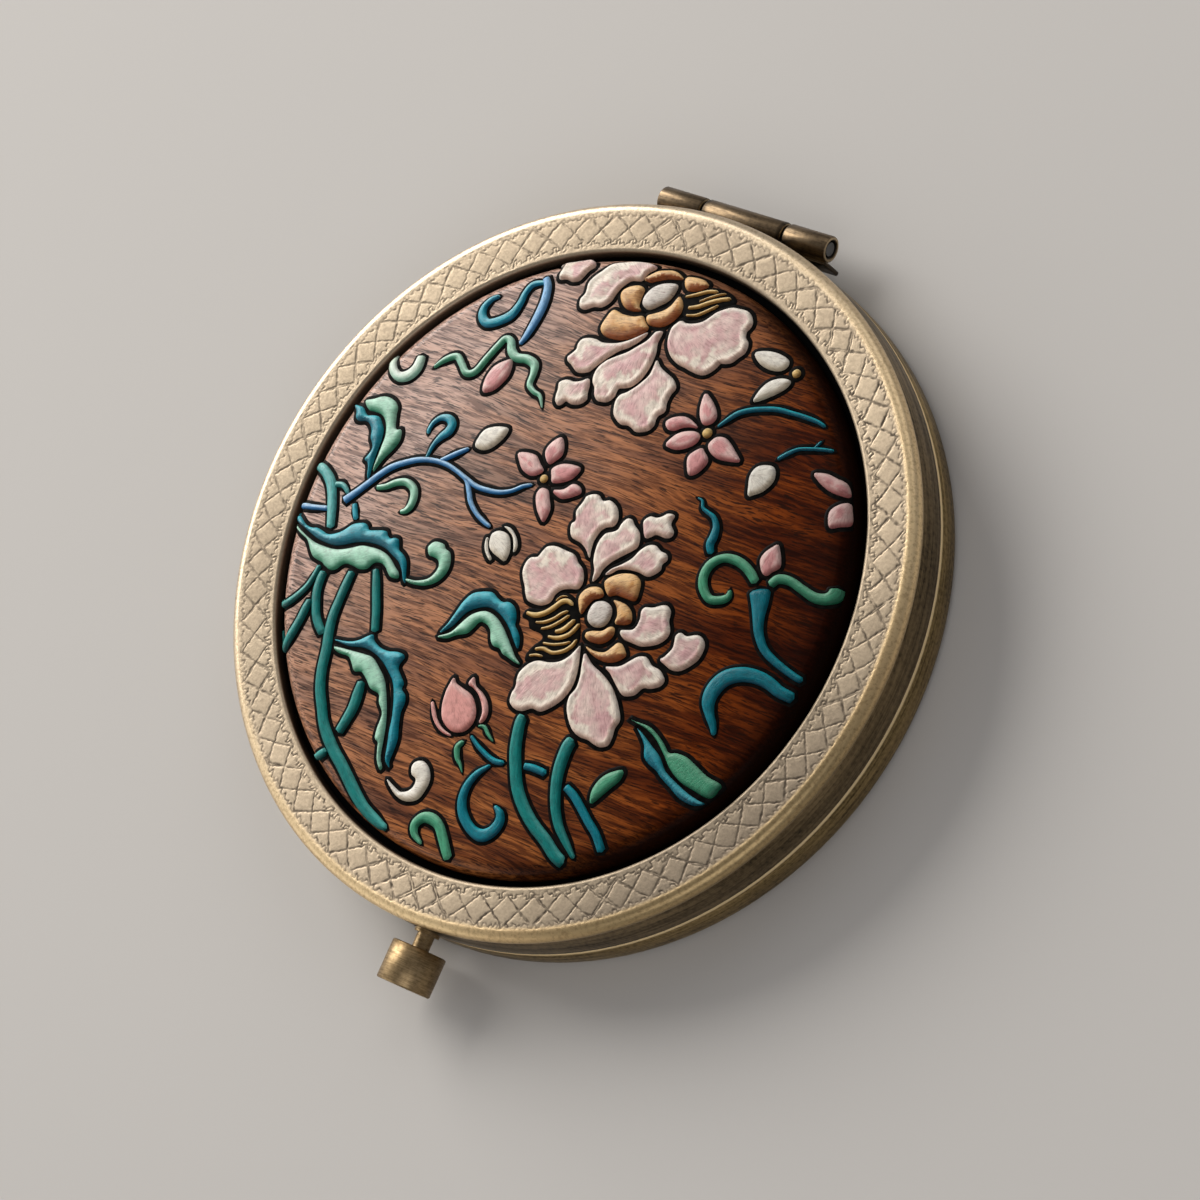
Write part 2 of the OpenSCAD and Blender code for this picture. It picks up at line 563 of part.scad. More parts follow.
// Stems and blue curls: rows of x, y and width
stem_shares = [
    [[-24.4, -1.9, 0.5], [-22.5, 0.6, 0.6], [-20.2, 3, 0.6], [-17.6, 4.4, 0.6], [-15, 4.8, 0.6],
        [-12, 4.1, 0.6], [-9, 3.5, 0.6], [-6.8, 4.2, 0.5], [-5.6, 5.1, 0.4]],
    [[-15, 5, 0.4], [-14, 5.8, 0.4], [-13.4, 6.4, 0.4]],
    [[-11.9, 4, 0.5], [-10.4, 2, 0.5], [-8.9, 1, 0.5], [-7.7, 0.7, 0.4]],
    [[-17.3, 4.6, 0.5], [-17.3, 6.6, 0.6], [-16.5, 7.9, 0.9], [-17.4, 8.7, 0.8], [-18.4, 7.6, 0.5],
        [-18.4, 6.6, 0.3]],
    [[-13.9, 23.4, 0.5], [-13.1, 22.3, 0.7], [-12.8, 20, 0.7], [-13.1, 17.9, 0.5]],
    [[-14.4, 22.8, 0.3], [-15.2, 21, 0.6], [-16.4, 19.4, 0.8], [-18, 18.9, 0.8], [-18.8, 19.8, 0.8],
        [-18.2, 20.9, 0.6]],
    [[10.4, 16.4, 0.4], [11.6, 18, 0.5], [14, 19.2, 0.5], [17, 19.6, 0.5], [19, 19.3, 0.3]],
    [[17.5, 15.1, 0.3], [18.4, 16, 0.4], [19.6, 16.8, 0.4], [20.8, 17.1, 0.3]],
    [[11.8, 9.6, 0.3], [13.4, 8.4, 0.5], [14.2, 7.2, 0.5], [14.5, 5.9, 0.4]],
    [[21, 3.5, 0.8], [22, 0.8, 0.9], [23.4, -1.2, 0.8], [25.4, -2.2, 0.6], [26.7, -2.4, 0.4]],
    [[26.5, -4, 0.5], [24.6, -3.8, 0.9], [22.2, -4, 1.1], [20.7, -5.6, 1.2], [20.6, -7.6, 1],
        [21.6, -9.2, 0.5]],
    [[4.3, -15.3, 0.8], [5, -17.8, 0.9], [7.4, -20.9, 0.9], [10.2, -23, 0.8], [12.6, -23.9, 0.6]],
    [[9.6, -15.2, 0.8], [10, -18.2, 0.9], [11.2, -21, 0.8], [13.2, -23.6, 0.6]],
    [[0.2, -17.7, 0.4], [2.4, -18.7, 0.5], [5, -18.6, 0.6], [8.2, -18.3, 0.6], [11.4, -18.8, 0.6],
        [14, -20.6, 0.7], [16.4, -22.2, 0.6]],
    [[3.2, -19.4, 0.4], [1.8, -21.4, 0.7], [2, -23.8, 0.9], [3.8, -25.4, 0.9], [5.6, -24.8, 0.8],
        [5.6, -23.3, 0.6]],
    [[-20, -8.5, 0.7], [-19.9, -12, 0.8], [-19.2, -16, 0.8], [-16.6, -20.4, 0.9], [-13, -23.4, 0.9],
        [-9, -25.6, 0.8]],
    [[-23, -8.4, 0.7], [-22.4, -11, 0.8], [-20.1, -13.4, 0.6]],
    [[-17.4, -8, 0.6], [-15.6, -10, 0.6], [-14.7, -11.8, 0.5]],
    [[-13.8, -17, 0.6], [-13.7, -19.6, 0.7], [-14.3, -21.9, 0.6]]];

module relief_stems() {
    color("#2f7f8f") on_dome() for (rows = stem_shares) ribbon(rows);
}

// One outer knuckle with a countersunk end, for x > 0
module outer_knuckle() {
    x = leaf_x - outer_len / 2;
    difference() {
        rod_x(x, knuckle_r, outer_len);
        rod_x(x, pin_r + seat_gap, outer_len + over);
        translate([leaf_x - sink_depth, hinge_y, hinge_z]) rotate([0, 90, 0])
            cylinder(r1 = pin_r + seat_gap, r2 = sink_r, h = sink_depth, $fn = fine_fn);
    }
}

// The base leaf: a plate soldered on the base's flat, notched for the middle knuckle, and the
// two outer knuckles; the plate stands free of the round wall at its ends
module base_hinge_leaf() {
    notch_x = middle_len / 2 + knuckle_gap;
    color("#7a6648") {
        difference() {
            block([-leaf_x, flat_y, base_leaf_z], [leaf_x, leaf_y, hinge_z]);
            block([-notch_x, flat_y - over, notch_z], [notch_x, leaf_y + over, hinge_z + over]);
        }
        for (side = [0, 1]) mirror([side, 0, 0]) outer_knuckle();
    }
}

// The lid leaf: a plate on the lid's flat with the middle knuckle
module lid_hinge_leaf() {
    half = middle_len / 2;
    color("#7a6648") difference() {
        union() {
            block([-half, flat_y, hinge_z], [half, leaf_y, lid_leaf_z]);
            rod_x(0, knuckle_r, middle_len);
        }
        rod_x(0, bore_r, middle_len + over);
    }
}

module hinge_pin() {
    color("#8d9094") rod_x(0, pin_r, hinge_len - 2 * pin_recess);
}

// The bush that guides the stem, with a small flange outside the wall
module stem_bush() {
    color("#c9a25a") difference() {
        rod_y(-boss_ri, stem_z, bush_r, -bush_y - boss_ri);
        rod_y(-boss_ri + over, stem_z, stem_r + run_gap, case_r);
    }
}

// The stem, with its inner head behind the bush
module button_stem() {
    color("#9a7d4c") {
        rod_y(-boss_ri, stem_z, stem_r, -knob_y + knob_bore - boss_ri);
        rod_y(head_y, stem_z, head_r, head_t);
    }
}

// The knob, pressed on the stem's outer end
module button_knob() {
    color("#b08f55") difference() {
        translate([0, knob_y, stem_z]) rotate([90, 0, 0]) rotate_extrude($fn = 96) polygon([
            [0, 0], [knob_r - knob_chamfer, 0], [knob_r, knob_chamfer], [knob_r, knob_len - knob_chamfer],
            [knob_r - knob_chamfer, knob_len], [0, knob_len]]);
        rod_y(knob_y + over, stem_z, stem_r + seat_gap, knob_bore + over);
    }
}

// The latch spring: foot, upright and the catches that reach over the hook's noses
module latch_spring() {
    color("#a9adb0") difference() {
        union() {
            block([-prong_xo, spring_y, floor_t], [prong_xo, spring_foot_y, floor_t + spring_t]);
            block([-prong_xo, spring_y, floor_t], [prong_xo, spring_y + spring_t, spring_z]);
            for (side = [0, 1]) mirror([side, 0, 0])
                block([prong_x, catch_y, catch_z], [prong_xo, spring_y + spring_t, catch_z + spring_t]);
        }
        rivet_holes(floor_t - over);
    }
}

// The hook: a strap under the lid's plate and two prongs with noses that point inwards
module lid_hook() {
    color("#9a7d4c") difference() {
        union() {
            block([-prong_xo, prong_y, plate_z - hook_t], [prong_xo, spring_foot_y, plate_z]);
            for (side = [0, 1]) mirror([side, 0, 0]) prong();
        }
        rivet_holes(plate_z - hook_t - over);
    }
}

module prong() {
    translate([prong_x, 0, 0]) rotate([90, 0, 90]) linear_extrude(prong_w) polygon([
        [prong_y, plate_z], [prong_y, nose_z], [prong_y + hook_t, nose_z], [nose_tip_y, nose_z + nose_h / 2],
        [nose_tip_y, nose_z + nose_h], [prong_y + hook_t, nose_z + nose_h], [prong_y + hook_t, plate_z]]);
}

// Holes for the pair of rivets that holds the latch spring's foot or the hook's strap; they
// start at height z and go up through what is there
module rivet_holes(z) {
    for (p = rivet_places) translate([p[0], p[1], z])
        cylinder(r = rivet_r + seat_gap, h = rivet_depth + hook_t + over, $fn = fine_fn);
}

// One rivet: a shank with a low round head on top of a sheet of thickness t
module rivet(t) {
    cylinder(r = rivet_r, h = rivet_depth + t, $fn = fine_fn);
    translate([0, 0, rivet_depth + t])
        cylinder(r1 = rivet_head_r, r2 = rivet_r, h = rivet_head_h, $fn = fine_fn);
}

module latch_rivets() {
    color("#9a7d4c") for (p = rivet_places) translate([p[0], p[1], floor_t - rivet_depth]) rivet(spring_t);
}

module hook_rivets() {
    color("#9a7d4c") for (p = rivet_places)
        translate([p[0], p[1], plate_z + rivet_depth]) mirror([0, 0, 1]) rivet(hook_t);
}

base_shell();
base_mirror_pad();
base_mirror();
base_mirror_ring();
base_hinge_leaf();
hinge_pin();
stem_bush();
latch_spring();
latch_rivets();
lid_shell();
bezel_ring();
wood_inlay();
relief_petals();
relief_centres();
relief_leaves();
relief_stems();
lid_mirror_pad();
lid_mirror();
lid_mirror_ring();
lid_hinge_leaf();
lid_hook();
hook_rivets();
button_knob();
button_stem();
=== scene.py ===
import json
import math
import bmesh
import bpy
import numpy as np
from mathutils import Matrix, Vector, geometry, noise


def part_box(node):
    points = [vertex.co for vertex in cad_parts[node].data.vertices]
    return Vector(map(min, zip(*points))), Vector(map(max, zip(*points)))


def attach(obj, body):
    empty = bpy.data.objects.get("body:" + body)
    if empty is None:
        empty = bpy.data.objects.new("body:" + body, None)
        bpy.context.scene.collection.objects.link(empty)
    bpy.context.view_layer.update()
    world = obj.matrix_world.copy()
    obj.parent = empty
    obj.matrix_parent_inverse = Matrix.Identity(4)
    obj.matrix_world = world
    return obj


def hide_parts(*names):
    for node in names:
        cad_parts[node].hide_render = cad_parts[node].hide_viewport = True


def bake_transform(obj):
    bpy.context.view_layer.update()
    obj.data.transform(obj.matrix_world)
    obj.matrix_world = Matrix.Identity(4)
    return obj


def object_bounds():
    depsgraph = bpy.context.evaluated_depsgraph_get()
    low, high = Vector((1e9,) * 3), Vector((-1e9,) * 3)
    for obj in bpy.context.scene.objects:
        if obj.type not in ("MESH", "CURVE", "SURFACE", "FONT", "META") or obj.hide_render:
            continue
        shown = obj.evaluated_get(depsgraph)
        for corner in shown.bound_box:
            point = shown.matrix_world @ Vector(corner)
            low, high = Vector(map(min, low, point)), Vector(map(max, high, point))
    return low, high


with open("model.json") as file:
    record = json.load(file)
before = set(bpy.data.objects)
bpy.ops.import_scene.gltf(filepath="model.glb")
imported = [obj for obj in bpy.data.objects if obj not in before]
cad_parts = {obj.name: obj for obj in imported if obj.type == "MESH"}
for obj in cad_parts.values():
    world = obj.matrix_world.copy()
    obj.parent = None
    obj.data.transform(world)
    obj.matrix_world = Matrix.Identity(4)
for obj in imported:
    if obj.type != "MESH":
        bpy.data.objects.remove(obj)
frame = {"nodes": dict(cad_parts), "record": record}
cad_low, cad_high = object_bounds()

scene = bpy.context.scene
nodes = frame["nodes"]
MM = 0.001

# Driving sizes in mm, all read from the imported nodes
CASE_R = -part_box("bezel_ring")[0].x / MM
TOP_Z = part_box("bezel_ring")[1].z / MM
BEZEL_LOW_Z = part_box("bezel_ring")[0].z / MM
INLAY_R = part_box("wood_inlay")[1].x / MM
SEAT_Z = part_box("wood_inlay")[0].z / MM
CROWN_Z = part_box("wood_inlay")[1].z / MM
LIMIT_Z = cad_high.z / MM

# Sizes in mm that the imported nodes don't give: the window, the bead, the hinge, and the dome's
# section, a flat crown that ends in a rolled edge
WINDOW_R = 30
SEAT_R = 30.6
LIP_ROUND = 0.4
BEAD_R = 0.9
PARTING_Z = 3.8
HINGE_LINE = (0, 0.036, 0.0038)
KNOB_LINE = (0, 0, 0.00395)
PIN_R = 0.65
KNUCKLE_R = 1.25
MIDDLE_KNUCKLE = 8.9
EDGE_RISE = 0.7
ROLL = 1.6
ROLL_R = INLAY_R - ROLL
ROLL_Z = TOP_Z + EDGE_RISE - ROLL
CROWN_R = (ROLL_R ** 2 + (CROWN_Z - ROLL_Z - ROLL) ** 2) / (2 * (CROWN_Z - ROLL_Z - ROLL))

# The camera, as fitted to the photograph's circles: the image is 1200 pixels wide, and the
# fitted frame has its origin in the middle of the bezel's top
PHOTO_PX = 1200
FOCAL_PX = 4489.5
SENSOR_MM = 36
CAMERA_RIGHT = Vector((0.78873, 0.40730, -0.46045))
CAMERA_UP = Vector((-0.29020, 0.90700, 0.30519))
CAMERA_BACK = Vector((0.54193, -0.10708, 0.83357))
CAMERA_PLACE = Vector((222.624, -44.879, 334.076 + TOP_Z)) * MM


def make_camera():
    data = bpy.data.cameras.new("camera")
    data.sensor_width = SENSOR_MM
    data.lens = FOCAL_PX / PHOTO_PX * SENSOR_MM
    data.clip_start = 0.01
    data.clip_end = 10
    camera = bpy.data.objects.new("camera", data)
    turn = Matrix((CAMERA_RIGHT, CAMERA_UP, CAMERA_BACK)).transposed()
    camera.matrix_world = Matrix.Translation(CAMERA_PLACE) @ turn.to_4x4()
    scene.collection.objects.link(camera)
    scene.camera = camera


# Node trees

class Tree:
    """Short calls for building a node tree."""

    def __init__(self, tree):
        self.tree = tree

    def add(self, kind, **settings):
        node = self.tree.nodes.new(kind)
        for name, value in settings.items():
            setattr(node, name, value)
        return node

    def link(self, out, socket):
        self.tree.links.new(out, socket)

    def fill(self, sockets, values):
        """Give each socket its number, its vector or colour, or its link."""
        for socket, value in zip(sockets, values):
            if isinstance(value, (int, float)):
                socket.default_value = value
            elif isinstance(value, tuple):
                socket.default_value = value if socket.type == "VECTOR" else (*value, 1)
            elif value is not None:
                self.link(value, socket)

    def ramp(self, factor, stops):
        """A colour ramp with stops of (place, colour). A bare number is a grey."""
        node = self.add("ShaderNodeValToRGB")
        band = node.color_ramp.elements
        while len(band) < len(stops):
            band.new(0.5)
        for element, (place, colour) in zip(band, stops):
            element.position = place
            element.color = (*colour, 1) if isinstance(colour, tuple) else (*(colour,) * 3, 1)
        self.link(factor, node.inputs["Fac"])
        return node.outputs["Color"]

    def ramp_mm(self, length, span, stops):
        """A ramp over a length of 0 to span mm, with its stops in mm."""
        return self.ramp(self.math("MULTIPLY", length, 1 / (span * MM)),
                         [(stop / span, colour) for stop, colour in stops])

    def math(self, operation, a, b=None):
        node = self.add("ShaderNodeMath", operation=operation)
        self.fill(node.inputs, (a, b))
        return node.outputs[0]

    def scaled(self, value, factor, shift):
        """A value times a factor, plus a shift."""
        return self.math("ADD", self.math("MULTIPLY", value, factor), shift)

    def weighted(self, first, *others):
        """The sum of some values, each given with its weight."""
        total = self.math("MULTIPLY", *first)
        for value, weight in others:
            total = self.math("ADD", total, self.math("MULTIPLY", value, weight))
        return total

    def vector(self, operation, a, b=None):
        node = self.add("ShaderNodeVectorMath", operation=operation)
        self.fill(node.inputs, (a, b))
        return node.outputs["Value" if operation in ("DOT_PRODUCT", "LENGTH") else "Vector"]

    def parts(self, vector):
        """The outputs X, Y and Z of a vector."""
        node = self.add("ShaderNodeSeparateXYZ")
        self.link(vector, node.inputs[0])
        return node.outputs

    def joined(self, *values):
        node = self.add("ShaderNodeCombineXYZ")
        self.fill(node.inputs, values)
        return node.outputs[0]

    def mix(self, factor, a, b, blend="MIX"):
        node = self.add("ShaderNodeMix", data_type="RGBA", blend_type=blend)
        self.fill([node.inputs[name] for name in ("Factor", "A", "B")], (factor, a, b))
        return node.outputs["Result"]

    def times(self, a, b, factor=1.0):
        """A colour darkened by another, as far as factor says."""
        return self.mix(factor, a, b, "MULTIPLY")

    def noise(self, vector, scale, detail=4.0, roughness=0.5):
        """Noise at one scale, or stretched by a scale for each axis."""
        if isinstance(scale, tuple):
            vector, scale = self.vector("MULTIPLY", vector, scale), 1
        node = self.add("ShaderNodeTexNoise")
        sockets = [node.inputs[name] for name in ("Vector", "Scale", "Detail", "Roughness")]
        self.fill(sockets, (vector, scale, detail, roughness))
        return node.outputs["Fac"]

    def attribute(self, name, output):
        return self.add("ShaderNodeAttribute", attribute_name=name).outputs[output]

    def round_axis(self, place, axis, middle=(0, 0, 0)):
        """Distance from an axis through middle, turn about it, and place along it."""
        parts = self.parts(self.vector("SUBTRACT", place, middle))
        across = [parts[name] for name in "XYZ" if name != axis]
        turn = self.math("ARCTAN2", across[1], across[0])
        squares = [self.math("POWER", out, 2) for out in across]
        return self.math("SQRT", self.math("ADD", *squares)), turn, parts[axis]


class Surface(Tree):
    """A material's node tree, with its shader and the object's own coordinates."""

    def __init__(self, material):
        material.use_nodes = True
        super().__init__(material.node_tree)
        self.material = material
        self.shader = material.node_tree.nodes["Principled BSDF"]
        self.place = self.add("ShaderNodeTexCoord").outputs["Object"]

    def give(self, name, out):
        self.link(out, self.shader.inputs[name])

    def paint(self, colour):
        self.give("Base Color", colour)

    def painted(self):
        """What the base colour is linked to."""
        return self.shader.inputs["Base Color"].links[0].from_socket

    def bump(self, height, strength, distance):
        node = self.add("ShaderNodeBump")
        sockets = [node.inputs[name] for name in ("Height", "Strength", "Distance")]
        self.fill(sockets, (height, strength, distance))
        self.give("Normal", node.outputs["Normal"])


def new_surface(name, metallic, roughness, specular=0.5, coat=0.0, coat_roughness=0.1):
    surface = Surface(bpy.data.materials.new(name))
    for socket, value in (("Metallic", metallic), ("Roughness", roughness), ("Specular IOR Level", specular),
                          ("Coat Weight", coat), ("Coat Roughness", coat_roughness)):
        surface.shader.inputs[socket].default_value = value
    return surface


def changed(material, name):
    """The surface of a copy of a material."""
    copy = material.copy()
    copy.name = name
    return Surface(copy)


# Light and floor

LAMPS = [
    ("key", (-0.82, 0.33, 0.48), 0.8, 11.2, (1.0, 0.98, 0.95)),
    ("back", (0.05, 0.80, 0.60), 0.7, 1.2, (1.0, 0.98, 0.96)),
    ("fill", (0.45, -0.60, 0.7), 0.7, 1.7, (0.98, 0.98, 1.0)),
]
FLOOR_COLOUR = (0.56, 0.535, 0.505)
FLOOR_REACH = 3


def make_lamp(name, place, size, power, colour):
    data = bpy.data.lights.new(name, "AREA")
    data.shape = "DISK"
    data.size = size
    data.energy = power
    data.color = colour
    lamp = bpy.data.objects.new(name, data)
    lamp.location = place
    aim = Vector((0, 0, TOP_Z * MM)) - Vector(place)
    lamp.rotation_mode = "QUATERNION"
    lamp.rotation_quaternion = aim.to_track_quat("-Z", "Y")
    scene.collection.objects.link(lamp)


def make_world():
    """A studio that is light low down on the left, and dim overhead and on the right."""
    world = bpy.data.worlds.new("studio")
    scene.world = world
    world.use_nodes = True
    tree = Tree(world.node_tree)
    where = tree.add("ShaderNodeTexCoord").outputs["Generated"]
    side = tree.vector("DOT_PRODUCT", where, (-0.76, -0.32, -0.55))
    ramp = tree.ramp(tree.scaled(side, 0.5, 0.5), [
        (0.0, (0.26, 0.26, 0.27)), (0.45, (0.17, 0.17, 0.175)), (0.55, 0.26),
        (0.68, (0.95, 0.94, 0.92)), (0.85, (1.35, 1.32, 1.28))])
    back = world.node_tree.nodes["Background"]
    back.inputs["Strength"].default_value = 1.0
    tree.link(ramp, back.inputs["Color"])


def make_floor():
    mesh = bpy.data.meshes.new("floor")
    corners = [(x * FLOOR_REACH, y * FLOOR_REACH, 0) for x, y in ((-1, -1), (1, -1), (1, 1), (-1, 1))]
    mesh.from_pydata(corners, [], [(0, 1, 2, 3)])
    floor = bpy.data.objects.new("floor", mesh)
    scene.collection.objects.link(floor)
    surface = new_surface("floor", 0, 0.8, specular=0.2)
    surface.shader.inputs["Base Color"].default_value = (*FLOOR_COLOUR, 1)
    mesh.materials.append(surface.material)


# Materials. A noise's scale is in cells to the metre, and a bump's distance in metres

def brushed(name, dark, light, roughness, axis, lines, middle=(0, 0, 0), relief=0.35):
    """Antique metal with fine lines round an axis, darker where the patina stayed."""
    surface = new_surface(name, 1, roughness)
    turned = surface.joined(*surface.round_axis(surface.place, axis, middle))
    streaks = surface.noise(turned, lines, 6, 0.7)
    clouds = surface.noise(surface.place, 120, 4)
    fine = surface.noise(surface.place, 2600, 3)
    worn = surface.weighted((streaks, 0.75), (clouds, 0.25))
    colour = surface.ramp(worn, [(0.40, dark), (0.60, light)])
    surface.paint(surface.mix(0.35, colour, surface.ramp(fine, [(0.3, dark), (0.6, light)])))
    surface.give("Roughness", surface.ramp(streaks, [(0.3, roughness + 0.12), (0.7, roughness - 0.08)]))
    surface.bump(streaks, relief, 0.00006)
    return surface.material


def grained(name, metallic, roughness, dark, light, grain, relief=None, specular=0.5):
    """A surface between two colours, with fine grain given as a noise's scale, detail and roughness."""
    surface = new_surface(name, metallic, roughness, specular=specular)
    fine = surface.noise(surface.place, *grain)
    surface.paint(surface.ramp(fine, [(0.3, dark), (0.7, light)]))
    if relief:
        surface.bump(fine, *relief)
    return surface.material


def lid_metal():
    """The side metal, with painted shade on the seat under the inlay: black and without reflection, in the
    dark gap inside the bezel's window.
    """
    surface = changed(SIDE_METAL, "lid_metal")
    reach, _, height = surface.round_axis(surface.place, "Z")
    inside = surface.math("LESS_THAN", reach, (SEAT_R + 0.05) * MM)
    above = surface.math("GREATER_THAN", height, (SEAT_Z - 0.1) * MM)
    # Painted shade: the seat in the gap round the inlay is made black, with no metal and no reflection
    seat = surface.math("MULTIPLY", inside, above)
    surface.paint(surface.mix(seat, surface.painted(), (0.003, 0.003, 0.003)))
    outside_shade = surface.math("SUBTRACT", 1, seat)
    surface.give("Metallic", outside_shade)
    surface.give("Specular IOR Level", surface.math("MULTIPLY", outside_shade, 0.5))
    return surface.material


def base_metal():
    """The base's metal, with a painted highlight along its upper edge, just below the parting line."""
    surface = changed(BASE_METAL, "base_metal_painted_highlight")
    height = surface.parts(surface.place)["Z"]
    # Painted highlight: a bright band below the parting line, standing for the edge catching the light
    worn = surface.ramp_mm(height, 10, [(PARTING_Z - 0.42, 0), (PARTING_Z - 0.22, 1)])
    surface.paint(surface.mix(worn, surface.painted(), (0.85, 0.66, 0.38)))
    return surface.material


def hinge_metal():
    """The hinge's metal, with painted shade on the leaves, in the gaps between the knuckles and in the hole
    round the pin, and a lighter ring on the knuckle ends.
    """
    surface = changed(HINGE_METAL, "shaded_hinge_metal")
    reach, _, along = surface.round_axis(surface.place, "X", HINGE_LINE)
    gap = surface.math("SUBTRACT", surface.math("ABSOLUTE", along), MIDDLE_KNUCKLE / 2 * MM)
    # Painted shade on the leaves, in the gaps between the knuckles and round the pin
    leaf_shade = surface.ramp_mm(reach, 10, [(KNUCKLE_R + 0.05, 0), (KNUCKLE_R + 0.15, 0.8)])
    gap_shade = surface.ramp_mm(surface.math("ABSOLUTE", gap), 10, [(0.25, 0.85), (0.55, 0)])
    bore_shade = surface.ramp_mm(reach, 10, [(PIN_R + 0.2, 1), (PIN_R + 0.26, 0)])
    edge = surface.ramp_mm(reach, 10, [(0.93, 0), (1.0, 1), (1.12, 1), (1.17, 0)])
    shade = (0.03, 0.021, 0.013)
    colour = surface.mix(gap_shade, surface.mix(leaf_shade, surface.painted(), shade), shade)
    colour = surface.mix(surface.math("MULTIPLY", edge, 0.5), colour, (0.62, 0.48, 0.30))
    surface.paint(surface.mix(bore_shade, colour, (0.01, 0.008, 0.006)))
    return surface.material


def slant(surface, direction, span=50, start=0.4):
    """How far a point of the lid lies along a direction: start at its middle, and 1 more at span mm."""
    return surface.scaled(surface.vector("DOT_PRODUCT", surface.place, direction), 1 / (span * MM), start)


# Directions across the lid along which light and shade are painted, each running from the brighter side to
# the shaded side
BEZEL_SHADE_SIDE = (0.82, -0.57, 0)
SHADED_SIDE = (0.99, 0.08, 0)
SHEEN_FADE_SIDE = (0.93, -0.37, 0)


def bezel_metal():
    """Light satin brass; the stamped lines hold dark patina, the window's inner wall has painted shade, and
    the bead is worn to the gold. Light and shade are painted across the face and the bead, darker towards
    +X, -Y.
    """
    surface = new_surface("bezel_metal", 0.85, 0.5)
    lines_and_wall_shade = surface.attribute("lines_and_wall_shade", "Fac")
    clouds = surface.noise(surface.place, 180, 4)
    grain = surface.noise(surface.place, 3200, 4, 0.6)
    base = surface.ramp(clouds, [(0.35, (0.430, 0.345, 0.243)), (0.65, (0.500, 0.405, 0.287))])
    fine = surface.ramp(grain, [(0.38, (0.23, 0.17, 0.112)), (0.58, (0.50, 0.38, 0.265))])
    base = surface.mix(0.25, base, fine)
    reach, _, _ = surface.round_axis(surface.place, "Z")
    bead = surface.ramp_mm(reach, 40, [(33.68, 0), (34.16, 1)])
    # Painted light and shade across the face: lighter towards -X, darker and greyer towards +X, -Y
    painted_light_slant = slant(surface, BEZEL_SHADE_SIDE, 70, 0.5)
    base = surface.times(base, surface.ramp(painted_light_slant, [
        (0.05, 0.83), (0.14, 0.74), (0.3, 0.74), (0.5, 0.93), (0.76, 0.95), (0.89, 0.66),
        (0.97, (0.49, 0.49, 0.50))]))
    # The bead's gold, with painted light and shade along the same slant
    gold = surface.ramp(painted_light_slant, [
        (0.25, (0.57, 0.46, 0.325)), (0.6, (0.73, 0.55, 0.32)), (0.8, (0.82, 0.615, 0.34)),
        (0.9, (0.62, 0.44, 0.225)), (0.97, (0.41, 0.295, 0.145))])
    gold = surface.times(gold, surface.ramp(grain, [(0.36, (0.55, 0.5, 0.45)), (0.52, 1)]), 0.6)
    base = surface.mix(bead, base, gold)
    # Dark patina in the stamped lines, and painted shade on the window's inner wall
    patina = surface.math("MULTIPLY", lines_and_wall_shade, surface.scaled(clouds, 0.7, 0.65))
    # The patina is made fainter towards -X, +Y
    fainter_towards_minus_x = surface.ramp(painted_light_slant, [(0.05, 0.5), (0.3, 0.75), (0.5, 1)])
    patina = surface.math("MULTIPLY", patina, fainter_towards_minus_x)
    surface.paint(surface.mix(patina, base, (0.05, 0.036, 0.025)))
    satin = surface.ramp(grain, [(0.3, 0.55), (0.7, 0.45)])
    surface.give("Roughness", surface.mix(bead, satin, (0.37, 0.37, 0.37)))
    surface.bump(grain, 0.3, 0.00005)
    return surface.material


